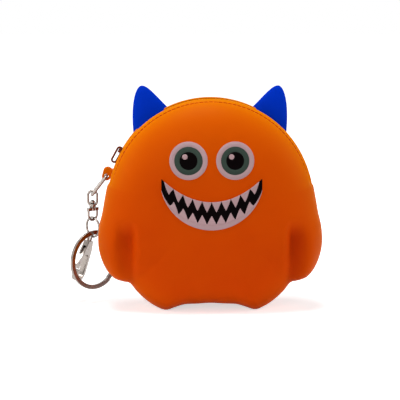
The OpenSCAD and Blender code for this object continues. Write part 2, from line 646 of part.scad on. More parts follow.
// Height of the lower link's inner edge at a distance s from its lowest point
function low_edge(s) = low_z - sqrt(pow(low_r - low_wire_r, 2) - s * s);

// The key ring: two flat turns of a split ring, hanging in front of the lower link's lowest point
KEY_OFF = 0.1;
key_s = KEY_OFF + band_t / 2;
key_inner_top = low_edge(KEY_OFF + band_t) + hang_gap;
key_z = key_inner_top - key_r + band_w;
SPLIT = 0.12;
module key_ring() {
    turn_t = band_t / 2;
    color(NICKEL) at_chain(key_z, turn) translate([0, -key_s, 0]) rotate([90, 0, 0]) rotate_extrude($fn = 96)
        polygon([[key_r - band_w, SPLIT], [key_r - band_w, turn_t], [key_r, turn_t], [key_r, SPLIT],
            [key_r - SPLIT, 0], [key_r, -SPLIT], [key_r, -turn_t], [key_r - band_w, -turn_t],
            [key_r - band_w, -SPLIT], [key_r - band_w + SPLIT, 0]]);
}

// The clasp hangs behind the lowest point; its flat lies in the XZ plane before it is turned
CLASP_OFF = 0.3;
clasp_s = KEY_OFF + clasp_t / 2 + CLASP_OFF;
clasp_eye_z = low_edge(clasp_s + clasp_wire_r / cos(clasp_turn)) + hang_gap + clasp_wire_r - clasp_eye_r;
clasp_hang_z = low_z - sqrt(low_r * low_r - clasp_s * clasp_s);
EYE_LEG = 3.3;
NECK_W = 4.6;
neck_top = -2.7;
module at_clasp() {
    translate([chain_x, chain_y, clasp_hang_z]) rotate([0, 0, turn]) translate([0, clasp_s, 0])
        rotate([clasp_tilt, 0, 0]) rotate([0, clasp_lean, 0]) rotate([0, 0, clasp_turn])
            translate([0, 0, clasp_eye_z - clasp_hang_z]) children();
}
// Extrudes a shape drawn in x and z to a thickness t about the clasp's middle
module flat_xz(t) { translate([0, t / 2, 0]) rotate([90, 0, 0]) linear_extrude(t) children(); }
hook_z = -hook_drop;
SHOULDER_Z = -8;
SHOULDER_W = 4.2;
THROAT_Z = -10;
lever_pivot = [-1.2, -7];
SLOT_ROOM = 1.8;
NOSE_Z = hook_z + 1.6;
HOOK_STEPS = 24;
function hook_arc(r, from, to) = [for (i = [0:HOOK_STEPS]) let (a = from + (to - from) * i / HOOK_STEPS)
    [r * cos(a), hook_z + r * sin(a)]];
hook_shape = concat([[-NECK_W / 2, neck_top], [NECK_W / 2, neck_top], [SHOULDER_W, SHOULDER_Z]],
    hook_arc(hook_r, 0, -180), [[-hook_r, NOSE_Z], [hook_w - hook_r, NOSE_Z]],
    hook_arc(hook_r - hook_w, -180, 0), [[SHOULDER_W - hook_w, THROAT_Z - 1], [0.6, THROAT_Z],
    [-SHOULDER_W, THROAT_Z], [-SHOULDER_W, SHOULDER_Z]]);
module clasp_body() {
    slot_t = lever_t + 2 * lever_play;
    color(NICKEL) at_clasp() difference() {
        union() {
            rotate([90, 0, 0]) rotate_extrude(angle = 180) translate([clasp_eye_r, 0])
                circle(r = clasp_wire_r);
            for (x = [-clasp_eye_r, clasp_eye_r]) translate([x, 0, -EYE_LEG])
                cylinder(r = clasp_wire_r, h = EYE_LEG);
            flat_xz(clasp_t) polygon(hook_shape);
        }
        // slot in which the lever turns
        translate([-2 * hook_r, -slot_t / 2, THROAT_Z - 1.5]) cube([2 * hook_r + lever_pivot[0] + SLOT_ROOM,
            slot_t, lever_pivot[1] + SLOT_ROOM - THROAT_Z + 1.5]);
        translate([lever_pivot[0], clasp_t, lever_pivot[1]]) rotate([90, 0, 0])
            cylinder(r = lever_pin_r - PRESS, h = 2 * clasp_t);
    }
}
module clasp_pin() {
    color(NICKEL) at_clasp() translate([lever_pivot[0], clasp_t / 2, lever_pivot[1]]) rotate([90, 0, 0])
        cylinder(r = lever_pin_r, h = clasp_t);
}
SPRING_R = 0.5;
SPRING_X = lever_pivot[0] + 1.2;
SPRING_Z = lever_pivot[1] + 1.25;
module clasp_spring() {
    color(NICKEL) at_clasp() translate([SPRING_X, lever_t / 2, SPRING_Z]) rotate([90, 0, 0])
        difference() {
            cylinder(r = SPRING_R, h = lever_t);
            translate([0, 0, -1]) cylinder(r = SPRING_R / 2, h = lever_t + 2);
        }
}
// The lever: a gate from the pivot to the hook's nose, with a thumb tab that stands out to the left
gate_tip = [-(hook_r - hook_w / 2), NOSE_Z + 0.25];
knee = [-hook_r, THROAT_Z - 1.6];
KNEE_W = 2.3;
thumb = knee + [-3.6, -3.6];
THUMB_R = 0.75;
module clasp_lever() {
    side = 0.8 * lever_hub_r;
    color(NICKEL) at_clasp() difference() {
        union() {
            flat_xz(lever_t) translate(lever_pivot) circle(r = lever_hub_r);
            flat_xz(lever_t) polygon([lever_pivot + [side, 0.3], lever_pivot + [-side, 0.3],
                knee, gate_tip + [-0.7, 0.35], gate_tip + [0.8, 0], knee + [KNEE_W, -0.4]]);
            flat_xz(lever_t) polygon([knee + [0.7, 1], knee + [0.9, -1.4], thumb + [0.6, -0.3],
                thumb + [-0.6, 0.3]]);
            flat_xz(lever_t) translate(thumb) circle(r = THUMB_R);
        }
        flat_xz(2 * lever_t) translate(lever_pivot) circle(r = lever_pin_r + pin_play);
    }
}

front_shell();
back_shell();
ear_left();
ear_right();
zip_tape_front();
zip_tape_back();
zip_teeth_front();
zip_teeth_back();
zip_stop_closed();
zip_stop_open();
zip_slider();
zip_pull();
eye_rings();
irises();
pupils();
glints();
mouth();
grin_teeth_print();
lip_print();
key_tab();
upper_link();
swivel_eye();
swivel_pin();
swivel_yoke();
lower_link();
key_ring();
clasp_body();
clasp_pin();
clasp_spring();
clasp_lever();
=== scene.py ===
"""Dresses the zip coin purse: moulded skin, ears, zip, printed face, key chain and the stage."""

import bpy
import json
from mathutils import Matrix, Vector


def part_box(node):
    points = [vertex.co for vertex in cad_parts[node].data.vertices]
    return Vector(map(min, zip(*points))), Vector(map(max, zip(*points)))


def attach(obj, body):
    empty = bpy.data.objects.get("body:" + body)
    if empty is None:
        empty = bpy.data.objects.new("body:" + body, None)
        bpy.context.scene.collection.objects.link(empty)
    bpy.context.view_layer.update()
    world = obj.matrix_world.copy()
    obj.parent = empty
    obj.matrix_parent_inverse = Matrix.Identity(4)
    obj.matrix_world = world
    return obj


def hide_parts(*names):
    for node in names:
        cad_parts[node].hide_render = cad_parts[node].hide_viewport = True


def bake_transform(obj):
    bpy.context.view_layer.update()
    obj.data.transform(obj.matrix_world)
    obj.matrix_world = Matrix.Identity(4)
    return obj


bl_info = {
    "name": "Moulded zip coin purse",
    "version": (1, 0, 0),
    "blender": (4, 5, 0),
    "location": "View3D > Sidebar > Coin Purse",
    "description": "Builds a moulded silicone coin purse with its zip, printed face and key chain",
    "category": "Add Mesh",
}

import json
import math

import bmesh
import bpy
from mathutils import Matrix, Vector

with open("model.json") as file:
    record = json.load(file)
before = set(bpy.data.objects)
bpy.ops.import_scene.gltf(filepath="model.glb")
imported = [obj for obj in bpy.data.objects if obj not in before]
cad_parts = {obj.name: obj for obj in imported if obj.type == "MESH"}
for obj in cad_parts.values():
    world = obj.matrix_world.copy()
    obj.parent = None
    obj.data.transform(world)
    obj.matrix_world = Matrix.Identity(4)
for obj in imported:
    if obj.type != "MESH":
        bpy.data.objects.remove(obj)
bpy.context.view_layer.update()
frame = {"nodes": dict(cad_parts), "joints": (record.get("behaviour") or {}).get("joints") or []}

MM = 0.001
TINY = 1e-5


# Properties


def length(name, description, default):
    return bpy.props.FloatProperty(
        name=name, description=description, default=default, unit="LENGTH", precision=5
    )


def angle(name, description, degrees):
    return bpy.props.FloatProperty(
        name=name, description=description, default=math.radians(degrees), subtype="ANGLE"
    )


def colour(name, description, red, green, blue):
    return bpy.props.FloatVectorProperty(
        name=name,
        description=description,
        subtype="COLOR_GAMMA",
        default=(red / 255, green / 255, blue / 255),
        min=0,
        max=1,
    )


class PurseSizes(bpy.types.PropertyGroup):
    """Sizes of the purse, the same as those of its solids."""

    dome_radius: length("Dome radius", "Radius of the round upper body", 50.6 * MM)
    dome_height: length("Dome height", "Height of the round part's centre", 54.7 * MM)
    half_depth: length("Half depth", "Depth of each half at its middle", 21 * MM)
    wall: length("Wall", "Thickness of the silicone", 2 * MM)
    arm_reach: length("Arm reach", "How far the arms stand out of the round part", 11.5 * MM)
    foot_reach: length("Foot reach", "How far the feet reach below the round part", 9.2 * MM)
    crease_x: length("Crease", "Distance of the arm creases from the middle", 39 * MM)
    arm_swell: length("Arm swell", "Extra depth at the crest of an arm, in front", 4 * MM)
    back_swell: length("Back swell", "Extra depth at the crest of an arm, at the back", 2 * MM)
    ear_base_x: length("Ear place", "Distance of an ear's base from the middle", 28.5 * MM)
    ear_lean: length("Ear lean", "How far the tip of an ear leans outwards", 5 * MM)
    slot_half: length("Slot", "Half width of the open slot between the lips", 4.75 * MM)
    slot_end: angle("Slot end", "Angle from the top at which the slot ends", 82.5)
    tape_bite: length("Tape bite", "Depth that a tape is pressed into its lip", 0.13 * MM)
    tooth_pitch: length("Tooth pitch", "Distance from tooth to tooth of the zip", 2.4 * MM)
    stitch_pitch: length("Stitch pitch", "Distance from stitch to stitch", 2.3 * MM)


class FaceSizes(bpy.types.PropertyGroup):
    """Sizes of the printed face."""

    eye_x: length("Eye distance", "Distance of each eye from the middle", 11.1 * MM)
    eye_z: length("Eye height", "Height of the eyes", 76.2 * MM)
    eye_radius: length("Eye radius", "Outer radius of an eye's ring", 9.1 * MM)
    iris_radius: length("Iris radius", "Radius of an iris", 6.8 * MM)
    pupil_radius: length("Pupil radius", "Radius of a pupil", 4.3 * MM)
    glint_radius: length("Glint radius", "Radius of the glint in a pupil", 1.3 * MM)
    mouth_half: length("Mouth half width", "Half width of the grin", 24.4 * MM)
    corner_z: length("Corner height", "Height of the grin's corners", 67.8 * MM)
    top_z: length("Upper edge", "Height of the upper edge in the middle", 56.4 * MM)
    low_z: length("Lower edge", "Height of the lower edge in the middle", 42.8 * MM)
    teeth: bpy.props.IntProperty(
        name="Upper teeth",
        description="Number of teeth in the upper row",
        default=10,
        min=4,
        max=16,
    )
    print_out: length("Print height", "How far a print stands out", 0.25 * MM)


class PurseColours(bpy.types.PropertyGroup):
    """Colours as they show under plain light."""

    silicone: colour("Silicone", "Orange silicone of the body", 224, 80, 0)
    silicone_deep: colour("Deep silicone", "Silicone in thicker, fuller places", 214, 64, 0)
    # Painted shade: a darker tint laid in the creases beside the arms, where shade falls.
    silicone_painted_shade: colour("Fold silicone", "Silicone in the creases beside the arms", 172, 36, 0)
    # Painted light: a lighter, yellower tint laid towards the rim and the top, standing in for
    # light through the thin edge and light from above.
    silicone_painted_glow: colour("Rim silicone", "Silicone where light passes through the rim", 244, 138, 0)
    ear: colour("Ear", "Blue silicone of the ears", 0, 58, 220)
    thread: colour("Thread", "Sewing thread of the lips", 236, 60, 10)
    tape: colour("Tape", "Woven tape of the zip", 205, 78, 8)
    teeth: colour("Zip teeth", "Moulded teeth of the zip", 214, 90, 14)
    lilac: colour("Lilac print", "Pale print of the eyes and the grin", 206, 170, 174)
    green: colour("Green print", "Dark print of the irises", 66, 80, 72)
    black: colour("Black print", "Black print of the pupils and the mouth", 5, 1, 2)
    nickel: colour("Nickel", "Plated metal of the chain", 168, 159, 152)
    nickel_worn: colour("Worn nickel", "Duller places of the plating", 70, 60, 54)
    bronze: colour("Bronze", "Dark metal of the slider and its pull", 104, 44, 24)
    floor: colour("Floor", "Plain floor", 244, 244, 244)


class StageSizes(bpy.types.PropertyGroup):
    """Where the camera stands and how much it shows."""

    azimuth: angle("Azimuth", "Direction that the camera looks from", -1.5)
    elevation: angle("Elevation", "Height angle of the camera", 9)
    lens: bpy.props.FloatProperty(
        name="Lens", description="Focal length in millimetres", default=120, min=20, max=300
    )
    aim_x: length("Aim across", "Where the picture's middle lies across", -5.1 * MM)
    aim_z: length("Aim height", "Where the picture's middle lies in height", 54.2 * MM)
    view_width: length("View width", "Width that the picture shows at the purse", 197 * MM)


def sizes():
    return bpy.context.scene.purse_sizes


def face_sizes():
    return bpy.context.scene.purse_face


def colours():
    return bpy.context.scene.purse_colours


# Shape of the skin


TAPE_T = 0.6 * MM
TAPE_TUCK = 1.4 * MM


def ease(a, b, value):
    """Smooth step from 0 at a to 1 at b."""
    s = min(1.0, max(0.0, (value - a) / (b - a)))
    return s * s * (3 - 2 * s)


def outline_knots(s):
    """Angle from the top in degrees and reach from the dome's centre, down one side."""
    arm = s.dome_radius + s.arm_reach
    foot = s.dome_radius + s.foot_reach
    crotch = s.dome_height - 2.7 * MM
    return (
        (0, s.dome_radius),
        (66, s.dome_radius),
        (84, s.dome_radius + 0.7 * MM),
        (96, s.dome_radius + 0.24 * s.arm_reach),
        (105, s.dome_radius + 0.56 * s.arm_reach),
        (114, s.dome_radius + 0.85 * s.arm_reach),
        (123, arm),
        (129, arm - 0.4 * MM),
        (133, arm - 2.4 * MM),
        (136, foot - 2 * MM),
        (141, foot - 1.2 * MM),
        (149, foot),
        (154, foot + 0.3 * MM),
        (158, foot),
        (162, foot - 3 * MM),
        (166, crotch + 2.3 * MM),
        (172, crotch + 0.9 * MM),
        (180, crotch),
    )


class Skin:
    """The purse's outer face, as depth over the outline in the parting plane."""

    CREASE_SHARE = 0.3
    CREASE_TOP = (37 * MM, 48 * MM)
    CREASE_FOOT = (6 * MM, 40 * MM)
    CREASE_IN = 2 * MM
    CREASE_OUT = 14 * MM
    # Reach of the painted shade beside the arms: its height range and its width on either side of
    # the crease.
    PAINTED_SHADE_FOOT = (7 * MM, 20 * MM)
    PAINTED_SHADE_IN = 1.4 * MM
    PAINTED_SHADE_OUT = 8 * MM
    ARM_CREST = 48 * MM
    ARM_HALF = 5 * MM
    ARM_FADE = (36 * MM, 46 * MM)

    def __init__(self):
        self.s = sizes()
        self.knots = outline_knots(self.s)

    def slope(self, i):
        if i == 0 or i == len(self.knots) - 1:
            return 0
        before, after = self.knots[i - 1], self.knots[i + 1]
        return (after[1] - before[1]) / (after[0] - before[0])

    def reach(self, turn):
        """Reach of the outline at an angle from the top, in degrees."""
        a = min(abs(turn), 180)
        i = max(n for n in range(len(self.knots) - 1) if a >= self.knots[n][0])
        (a0, r0), (a1, r1) = self.knots[i], self.knots[i + 1]
        h = a1 - a0
        t = (a - a0) / h
        start = r0 * (1 + 2 * t) * (1 - t) ** 2 + h * self.slope(i) * t * (1 - t) ** 2
        return start + r1 * (3 - 2 * t) * t * t - h * self.slope(i + 1) * t * t * (1 - t)

    def beside_arm(self, x, z, foot, inner, outer):
        """1 on the line of the arm's crease, fading to both sides and to both ends."""
        d = abs(x) - self.s.crease_x
        width = inner if d < 0 else outer
        zone = (1 - ease(*self.CREASE_TOP, z)) * ease(*foot, z)
        return zone * math.exp(-((d / width) ** 2))

    def crease(self, x, z):
        """Depth of the arm's crease, from 0 to 1."""
        return self.beside_arm(x, z, self.CREASE_FOOT, self.CREASE_IN, self.CREASE_OUT)

    def fold(self, x, z):
        """Strength of the painted shade in the arm's crease, from 0 to 1."""
        return self.beside_arm(x, z, self.PAINTED_SHADE_FOOT, self.PAINTED_SHADE_IN, self.PAINTED_SHADE_OUT)

    def swell(self, x, z, side):
        crest = self.s.back_swell if side > 0 else self.s.arm_swell
        fade = 1 - ease(*self.ARM_FADE, z)
        return crest * fade * math.exp(-(((abs(x) - self.ARM_CREST) / self.ARM_HALF) ** 2))

    def depth(self, share, x, z, side=-1):
        round_off = math.sqrt(max(0, 1 - share**4))
        fuller = self.swell(x, z, side) * math.sqrt(max(0, 1 - share**8))
        return self.s.half_depth * round_off * (1 - self.CREASE_SHARE * self.crease(x, z)) + fuller

    def point(self, turn, tilt, side):
        """A place on the skin: tilt is 0 in a half's middle and 90 degrees at the parting plane."""
        share = math.sqrt(math.sin(math.radians(tilt)))
        r = share * self.reach(turn)
        across, up = math.sin(math.radians(turn)), math.cos(math.radians(turn))
        x, z = r * across, max(0, self.s.dome_height + r * up)
        return Vector((x, side * self.depth(share, x, z, side), z)), Vector((across, 0, up))

    def face_y(self, x, z):
        """Depth of the front face at x, z."""
        rise = z - self.s.dome_height
        turn = math.degrees(math.atan2(abs(x), rise))
        return -self.depth(min(1, math.hypot(x, rise) / self.reach(turn)), x, z)

    def dome_at(self, y):
        """Radius of the round part at a depth y."""
        return self.s.dome_radius * (1 - (y / self.s.half_depth) ** 2) ** 0.25

    def tape_radius(self):
        """Radius of the zip's middle, just under the lips."""
        s = self.s
        inner = (s.slot_half + TAPE_TUCK) / (s.half_depth - s.wall)
        return (s.dome_radius - s.wall) * (1 - inner**2) ** 0.25 - TAPE_T / 2 + s.tape_bite

    def wall_z(self, x, y, inset):
        r = self.dome_at(y) - inset
        return self.s.dome_height + math.sqrt(max(0, r * r - x * x))


# Building helpers


def finish_mesh(bm, name, material, smooth=True, outwards=False):
    """Turns a bmesh into an object at the origin with one material."""
    if outwards:
        bmesh.ops.recalc_face_normals(bm, faces=bm.faces)
    for face in bm.faces:
        face.smooth = smooth
    mesh = bpy.data.meshes.new(name)
    bm.to_mesh(mesh)
    bm.free()
    obj = bpy.data.objects.new(name, mesh)
    bpy.context.scene.collection.objects.link(obj)
    obj.data.materials.append(material)
    return obj


def add_wall(obj, thickness, offset=-1.0):
    wall = obj.modifiers.new("wall", "SOLIDIFY")
    wall.thickness = thickness
    wall.offset = offset
    wall.use_even_offset = True


SHARP = math.radians(35)


def soften(obj, width, segments=2):
    """Rounds the sharp edges of a piece."""
    round_off = obj.modifiers.new("soft edges", "BEVEL")
    round_off.width = width
    round_off.segments = segments
    round_off.limit_method = "ANGLE"
    round_off.angle_limit = SHARP
    round_off.harden_normals = False


def smooth_by_angle(obj, degrees):
    """Smooth shading, with edges steeper than the angle left crisp."""
    obj.data.shade_smooth()
    obj.data.set_sharp_from_angle(angle=math.radians(degrees))


SEAM = 0.002 * MM


def dress(names, material, edge=0.0):
    """Gives CAD nodes their material, closed smooth faces and soft edges."""
    for name in names:
        node = frame["nodes"][name]
        node.data.materials.clear()
        node.data.materials.append(material)
        weld = node.modifiers.new("close seams", "WELD")
        weld.merge_threshold = SEAM
        if edge:
            soften(node, edge)
        node.data.shade_smooth()
        even = node.modifiers.new("even shading", "WEIGHTED_NORMAL")
        even.keep_sharp = True


def full_turn(bm, profile, centre, axis, steps, closed=True):
    """Spins an open or closed chain of points once round an axis."""
    verts = [bm.verts.new(p) for p in profile]
    after = verts[1:] + verts[:1] if closed else verts[1:]
    edges = [bm.edges.new(pair) for pair in zip(verts, after)]
    bmesh.ops.spin(
        bm,
        geom=verts + edges,
        cent=centre,
        axis=axis,
        angle=2 * math.pi,
        steps=steps,
        use_merge=True,
    )


# Materials


def linear(value):
    """Linear light of a display value."""
    return value / 12.92 if value <= 0.04045 else ((value + 0.055) / 1.055) ** 2.4


def rgba(tint):
    return tuple(linear(c) for c in tint) + (1.0,)


def add_node(tree, kind, **settings):
    node = tree.nodes.new(kind)
    for name, value in settings.items():
        setattr(node, name, value)
    return node


def new_group(name, inputs, outputs):
    """A shader node group with named sockets, and its input and output nodes."""
    tree = bpy.data.node_groups.new(name, "ShaderNodeTree")
    for label, kind, default in inputs:
        socket = tree.interface.new_socket(label, in_out="INPUT", socket_type=kind)
        socket.default_value = default
    for label, kind in outputs:
        tree.interface.new_socket(label, in_out="OUTPUT", socket_type=kind)
    return tree, add_node(tree, "NodeGroupInput"), add_node(tree, "NodeGroupOutput")


def feed(tree, socket, value):
    """Links an output to a socket, or writes a plain value in it."""
    if hasattr(value, "is_linked"):
        tree.links.new(value, socket)
    else:
        socket.default_value = value


def math_node(tree, operation, a, b=0.0):
    node = add_node(tree, "ShaderNodeMath", operation=operation)
    feed(tree, node.inputs[0], a)
    feed(tree, node.inputs[1], b)
    return node.outputs[0]


def mix_colours(tree, factor, a, b):
    node = add_node(tree, "ShaderNodeMix", data_type="RGBA")
    for place, value in ((0, factor), (6, a), (7, b)):
        feed(tree, node.inputs[place], value)
    return node.outputs[2]


def noise_node(tree, coordinates, scale, detail):
    node = add_node(tree, "ShaderNodeTexNoise")
    for label, value in (("Vector", coordinates), ("Scale", scale), ("Detail", detail)):
        feed(tree, node.inputs[label], value)
    return node.outputs[0]


def spread_roughness(tree, put_in, mask, middle):
    """The group's roughness, a little more or less where the mask is off its middle."""
    off = math_node(tree, "SUBTRACT", mask, middle)
    spread = math_node(tree, "MULTIPLY", put_in.outputs["Roughness Spread"], off)
    return math_node(tree, "ADD", put_in.outputs["Roughness"], spread)


def put_out_all(tree, put_out, **values):
    for label, value in values.items():
        tree.links.new(value, put_out.inputs[label])


SURFACE_OUTPUTS = (
    ("Colour", "NodeSocketColor"),
    ("Roughness", "NodeSocketFloat"),
    ("Height", "NodeSocketFloat"),
)


def moulded_group():
    """Moulded silicone or print: a slow drift of tint and roughness, and a fine grain."""
    tree, put_in, put_out = new_group(
        "Moulded surface",
        (
            ("Colour", "NodeSocketColor", (1, 1, 1, 1)),
            ("Second Colour", "NodeSocketColor", (1, 1, 1, 1)),
            ("Drift Scale", "NodeSocketFloat", 30.0),
            ("Grain Scale", "NodeSocketFloat", 2600.0),
            ("Roughness", "NodeSocketFloat", 0.4),
            ("Roughness Spread", "NodeSocketFloat", 0.1),
        ),
        SURFACE_OUTPUTS,
    )
    place = add_node(tree, "ShaderNodeTexCoord").outputs["Object"]
    drift = noise_node(tree, place, put_in.outputs["Drift Scale"], 2.0)
    grain = noise_node(tree, place, put_in.outputs["Grain Scale"], 2.0)
    tint = mix_colours(tree, drift, put_in.outputs["Colour"], put_in.outputs["Second Colour"])
    roughness = spread_roughness(tree, put_in, drift, 0.5)
    put_out_all(tree, put_out, Colour=tint, Roughness=roughness, Height=grain)
    return tree


def plated_group():
    """Plated metal: faint clouds in the plating and fine rubbing marks."""
    tree, put_in, put_out = new_group(
        "Plated metal",
        (
            ("Colour", "NodeSocketColor", (1, 1, 1, 1)),
            ("Worn Colour", "NodeSocketColor", (1, 1, 1, 1)),
            ("Cloud Scale", "NodeSocketFloat", 220.0),
            ("Mark Scale", "NodeSocketFloat", 900.0),
            ("Roughness", "NodeSocketFloat", 0.2),
            ("Roughness Spread", "NodeSocketFloat", 0.2),
        ),
        SURFACE_OUTPUTS,
    )
    place = add_node(tree, "ShaderNodeTexCoord").outputs["Object"]
    cloud = noise_node(tree, place, put_in.outputs["Cloud Scale"], 4.0)
    stretch = add_node(tree, "ShaderNodeMapping")
    stretch.inputs["Scale"].default_value = (1.0, 1.0, 6.0)
    stretch.inputs["Rotation"].default_value = (0.5, 0.9, 0.3)
    tree.links.new(place, stretch.inputs["Vector"])
    marks = noise_node(tree, stretch.outputs[0], put_in.outputs["Mark Scale"], 6.0)
    worn = math_node(tree, "MULTIPLY", cloud, marks)
    tint = mix_colours(tree, worn, put_in.outputs["Colour"], put_in.outputs["Worn Colour"])
    roughness = spread_roughness(tree, put_in, marks, 0.4)
    put_out_all(tree, put_out, Colour=tint, Roughness=roughness, Height=marks)
    return tree


def woven_group():
    """Woven tape: ribs along and across the piece's own UV map."""
    tree, put_in, put_out = new_group(
        "Woven tape",
        (
            ("Thread Colour", "NodeSocketColor", (1, 1, 1, 1)),
            ("Gap Colour", "NodeSocketColor", (0, 0, 0, 1)),
            ("Threads Along", "NodeSocketFloat", 160.0),
            ("Threads Across", "NodeSocketFloat", 12.0),
        ),
        (("Colour", "NodeSocketColor"), ("Height", "NodeSocketFloat")),
    )
    place = add_node(tree, "ShaderNodeUVMap", uv_map="weave").outputs[0]
    split = add_node(tree, "ShaderNodeSeparateXYZ")
    tree.links.new(place, split.inputs[0])
    ribs = []
    for axis, count in ((0, "Threads Along"), (1, "Threads Across")):
        phase = math_node(tree, "MULTIPLY", split.outputs[axis], put_in.outputs[count])
        wave = math_node(tree, "SINE", math_node(tree, "MULTIPLY", phase, math.pi))
        ribs.append(math_node(tree, "ABSOLUTE", wave))
    rib = math_node(tree, "MULTIPLY", ribs[0], ribs[1])
    tint = mix_colours(tree, rib, put_in.outputs["Gap Colour"], put_in.outputs["Thread Colour"])
    put_out_all(tree, put_out, Colour=tint, Height=rib)
    return tree


def shared_group(name, build):
    return bpy.data.node_groups.get(name) or build()


def grouped_material(name, group, values, bump, distance):
    """A material whose colour, roughness and bump come from a group; returns it and its shader."""
    material = bpy.data.materials.new(name)
    material.use_nodes = True
    tree = material.node_tree
    shader = tree.nodes["Principled BSDF"]
    surface = add_node(tree, "ShaderNodeGroup", node_tree=group)
    for label, value in values.items():
        surface.inputs[label].default_value = value
    tree.links.new(surface.outputs["Colour"], shader.inputs["Base Color"])
    if "Roughness" in surface.outputs:
        tree.links.new(surface.outputs["Roughness"], shader.inputs["Roughness"])
    relief = add_node(tree, "ShaderNodeBump")
    relief.inputs["Strength"].default_value = bump
    relief.inputs["Distance"].default_value = distance
    tree.links.new(surface.outputs["Height"], relief.inputs["Height"])
    tree.links.new(relief.outputs[0], shader.inputs["Normal"])
    return material, shader


def shade(tint, share):
    return [share * value for value in tint]


GLOSS = 0.02


def moulded_material(name, first, second, roughness, grain=2200.0, bump=0.12):
    """Moulded rubber or print in two near tints, made once."""
    made = bpy.data.materials.get(name)
    if made:
        return made
    material, shader = grouped_material(
        name,
        shared_group("Moulded surface", moulded_group),
        {
            "Colour": rgba(first),
            "Second Colour": rgba(second),
            "Grain Scale": grain,
            "Roughness": roughness,
        },
        bump,
        distance=0.08 * MM,
    )
    shader.inputs["Specular IOR Level"].default_value = GLOSS
    return material


# Mesh mask of the painted light towards the rim and the top.
PAINTED_GLOW_MASK = "rim"
# Mesh mask of the painted shade in the creases beside the arms.
PAINTED_SHADE_MASK = "fold"


def silicone_material():
    """Orange silicone, by the mesh's masks painted yellower towards the rim and the top as painted
    light, and deeper in the creases beside the arms as painted shade.
    """
    c = colours()
    name = "orange silicone"
    if name in bpy.data.materials:
        return bpy.data.materials[name]
    material = moulded_material(name, c.silicone, c.silicone_deep, roughness=0.5)
    tree = material.node_tree
    shader = tree.nodes["Principled BSDF"]
    tint = shader.inputs["Base Color"].links[0].from_socket
    for mask_name, second in ((PAINTED_GLOW_MASK, c.silicone_painted_glow), (PAINTED_SHADE_MASK, c.silicone_painted_shade)):
        mask = add_node(tree, "ShaderNodeAttribute", attribute_name=mask_name).outputs["Fac"]
        tint = mix_colours(tree, mask, tint, rgba(second))
    tree.links.new(tint, shader.inputs["Base Color"])
    return material


def painted_light_tab_material():
    # The strap takes the lighter rim tint as its colour: painted light that offsets the shade it
    # sits in.
    c = colours()
    return moulded_material("tab silicone", c.silicone_painted_glow, c.silicone, roughness=0.5)


def ear_material():
    tint = colours().ear
    return moulded_material("blue silicone", tint, shade(tint, 0.86), roughness=0.5)


def thread_material():
    tint = colours().thread
    return moulded_material("sewing thread", tint, shade(tint, 0.7), roughness=0.7, grain=5000.0)


def print_material(name, tint, roughness=0.5):
    return moulded_material(name, tint, shade(tint, 0.86), roughness, grain=3200.0, bump=0.08)


def plated_material(name, tint, worn, roughness):
    """Plated metal with duller places, made once."""
    made = bpy.data.materials.get(name)
    if made:
        return made
    material, shader = grouped_material(
        name,
        shared_group("Plated metal", plated_group),
        {"Colour": rgba(tint), "Worn Colour": rgba(worn), "Roughness": roughness},
        bump=0.1,
        distance=0.03 * MM,
    )
    shader.inputs["Metallic"].default_value = 1.0
    return material


def nickel_material():
    return plated_material("nickel plate", colours().nickel, colours().nickel_worn, 0.2)


def bronze_material():
    tint = colours().bronze
    return plated_material("dark bronze plate", tint, shade(tint, 0.6), 0.3)


def tape_material():
    made = bpy.data.materials.get("woven tape")
    if made:
        return made
    tint = colours().tape
    material, shader = grouped_material(
        "woven tape",
        shared_group("Woven tape", woven_group),
        {"Thread Colour": rgba(tint), "Gap Colour": rgba(shade(tint, 0.5))},
        bump=0.6,
        distance=0.15 * MM,
    )
    shader.inputs["Roughness"].default_value = 0.85
    shader.inputs["Sheen Weight"].default_value = 0.3
    return material


# Body


LIP_BAND = 3 * MM
LIP_ROUND = 1 * MM
LIP_FALL = 0.75 * MM
GROOVE_DEEP = 0.45 * MM
GROOVE_HALF = 0.45 * MM
BAND_SWELL = 0.25 * MM
SLOT_ROUND = 4.0
LIP_FADE = (-6, 1)


def slot_lip(skin, turn):
    """Half width of the slot at an angle, rounded off at its two ends."""
    end = math.degrees(skin.s.slot_end)
    into = min(1, max(0, (abs(turn) - end + SLOT_ROUND) / SLOT_ROUND))
    return skin.s.slot_half * math.sqrt(1 - into * into)


def lip_relief(skin, turn, y):
    """How far the lip's band, its groove and its round edge move the skin outwards."""
    end = math.degrees(skin.s.slot_end)
    shown = 1 - ease(end + LIP_FADE[0], end + LIP_FADE[1], abs(turn))
    if shown == 0:
        return 0
    d = max(0, abs(y) - skin.s.slot_half)
    s = max(0, 1 - d / LIP_ROUND)
    fall = LIP_FALL * (1 - math.sqrt(1 - s * s))
    groove = GROOVE_DEEP * math.exp(-(((d - LIP_BAND) / GROOVE_HALF) ** 2))
    band = BAND_SWELL * math.sin(math.pi * min(1, d / LIP_BAND))
    return shown * (band - groove - fall)


# Painted light: how the lighter rim tint grows with height, its share low down, and its extra at
# the top.
PAINTED_GLOW_RISE = (10 * MM, 105 * MM)
PAINTED_GLOW_LOW = 0.6
PAINTED_GLOW_CROWN = 0.16
# Strength of the painted shade on each side; the right side is painted darker, as if lit from the
# left.
PAINTED_SHADE_LEFT = 0.3
PAINTED_SHADE_RIGHT = 0.6
COLUMNS = 288
ROWS = 70


def vertex_side(vert):
    """-1 in the front half, 1 in the back half and 0 where the halves are joined."""
    sides = {-1 if face.calc_center_median().y < 0 else 1 for face in vert.link_faces}
    return sides.pop() if len(sides) == 1 else 0


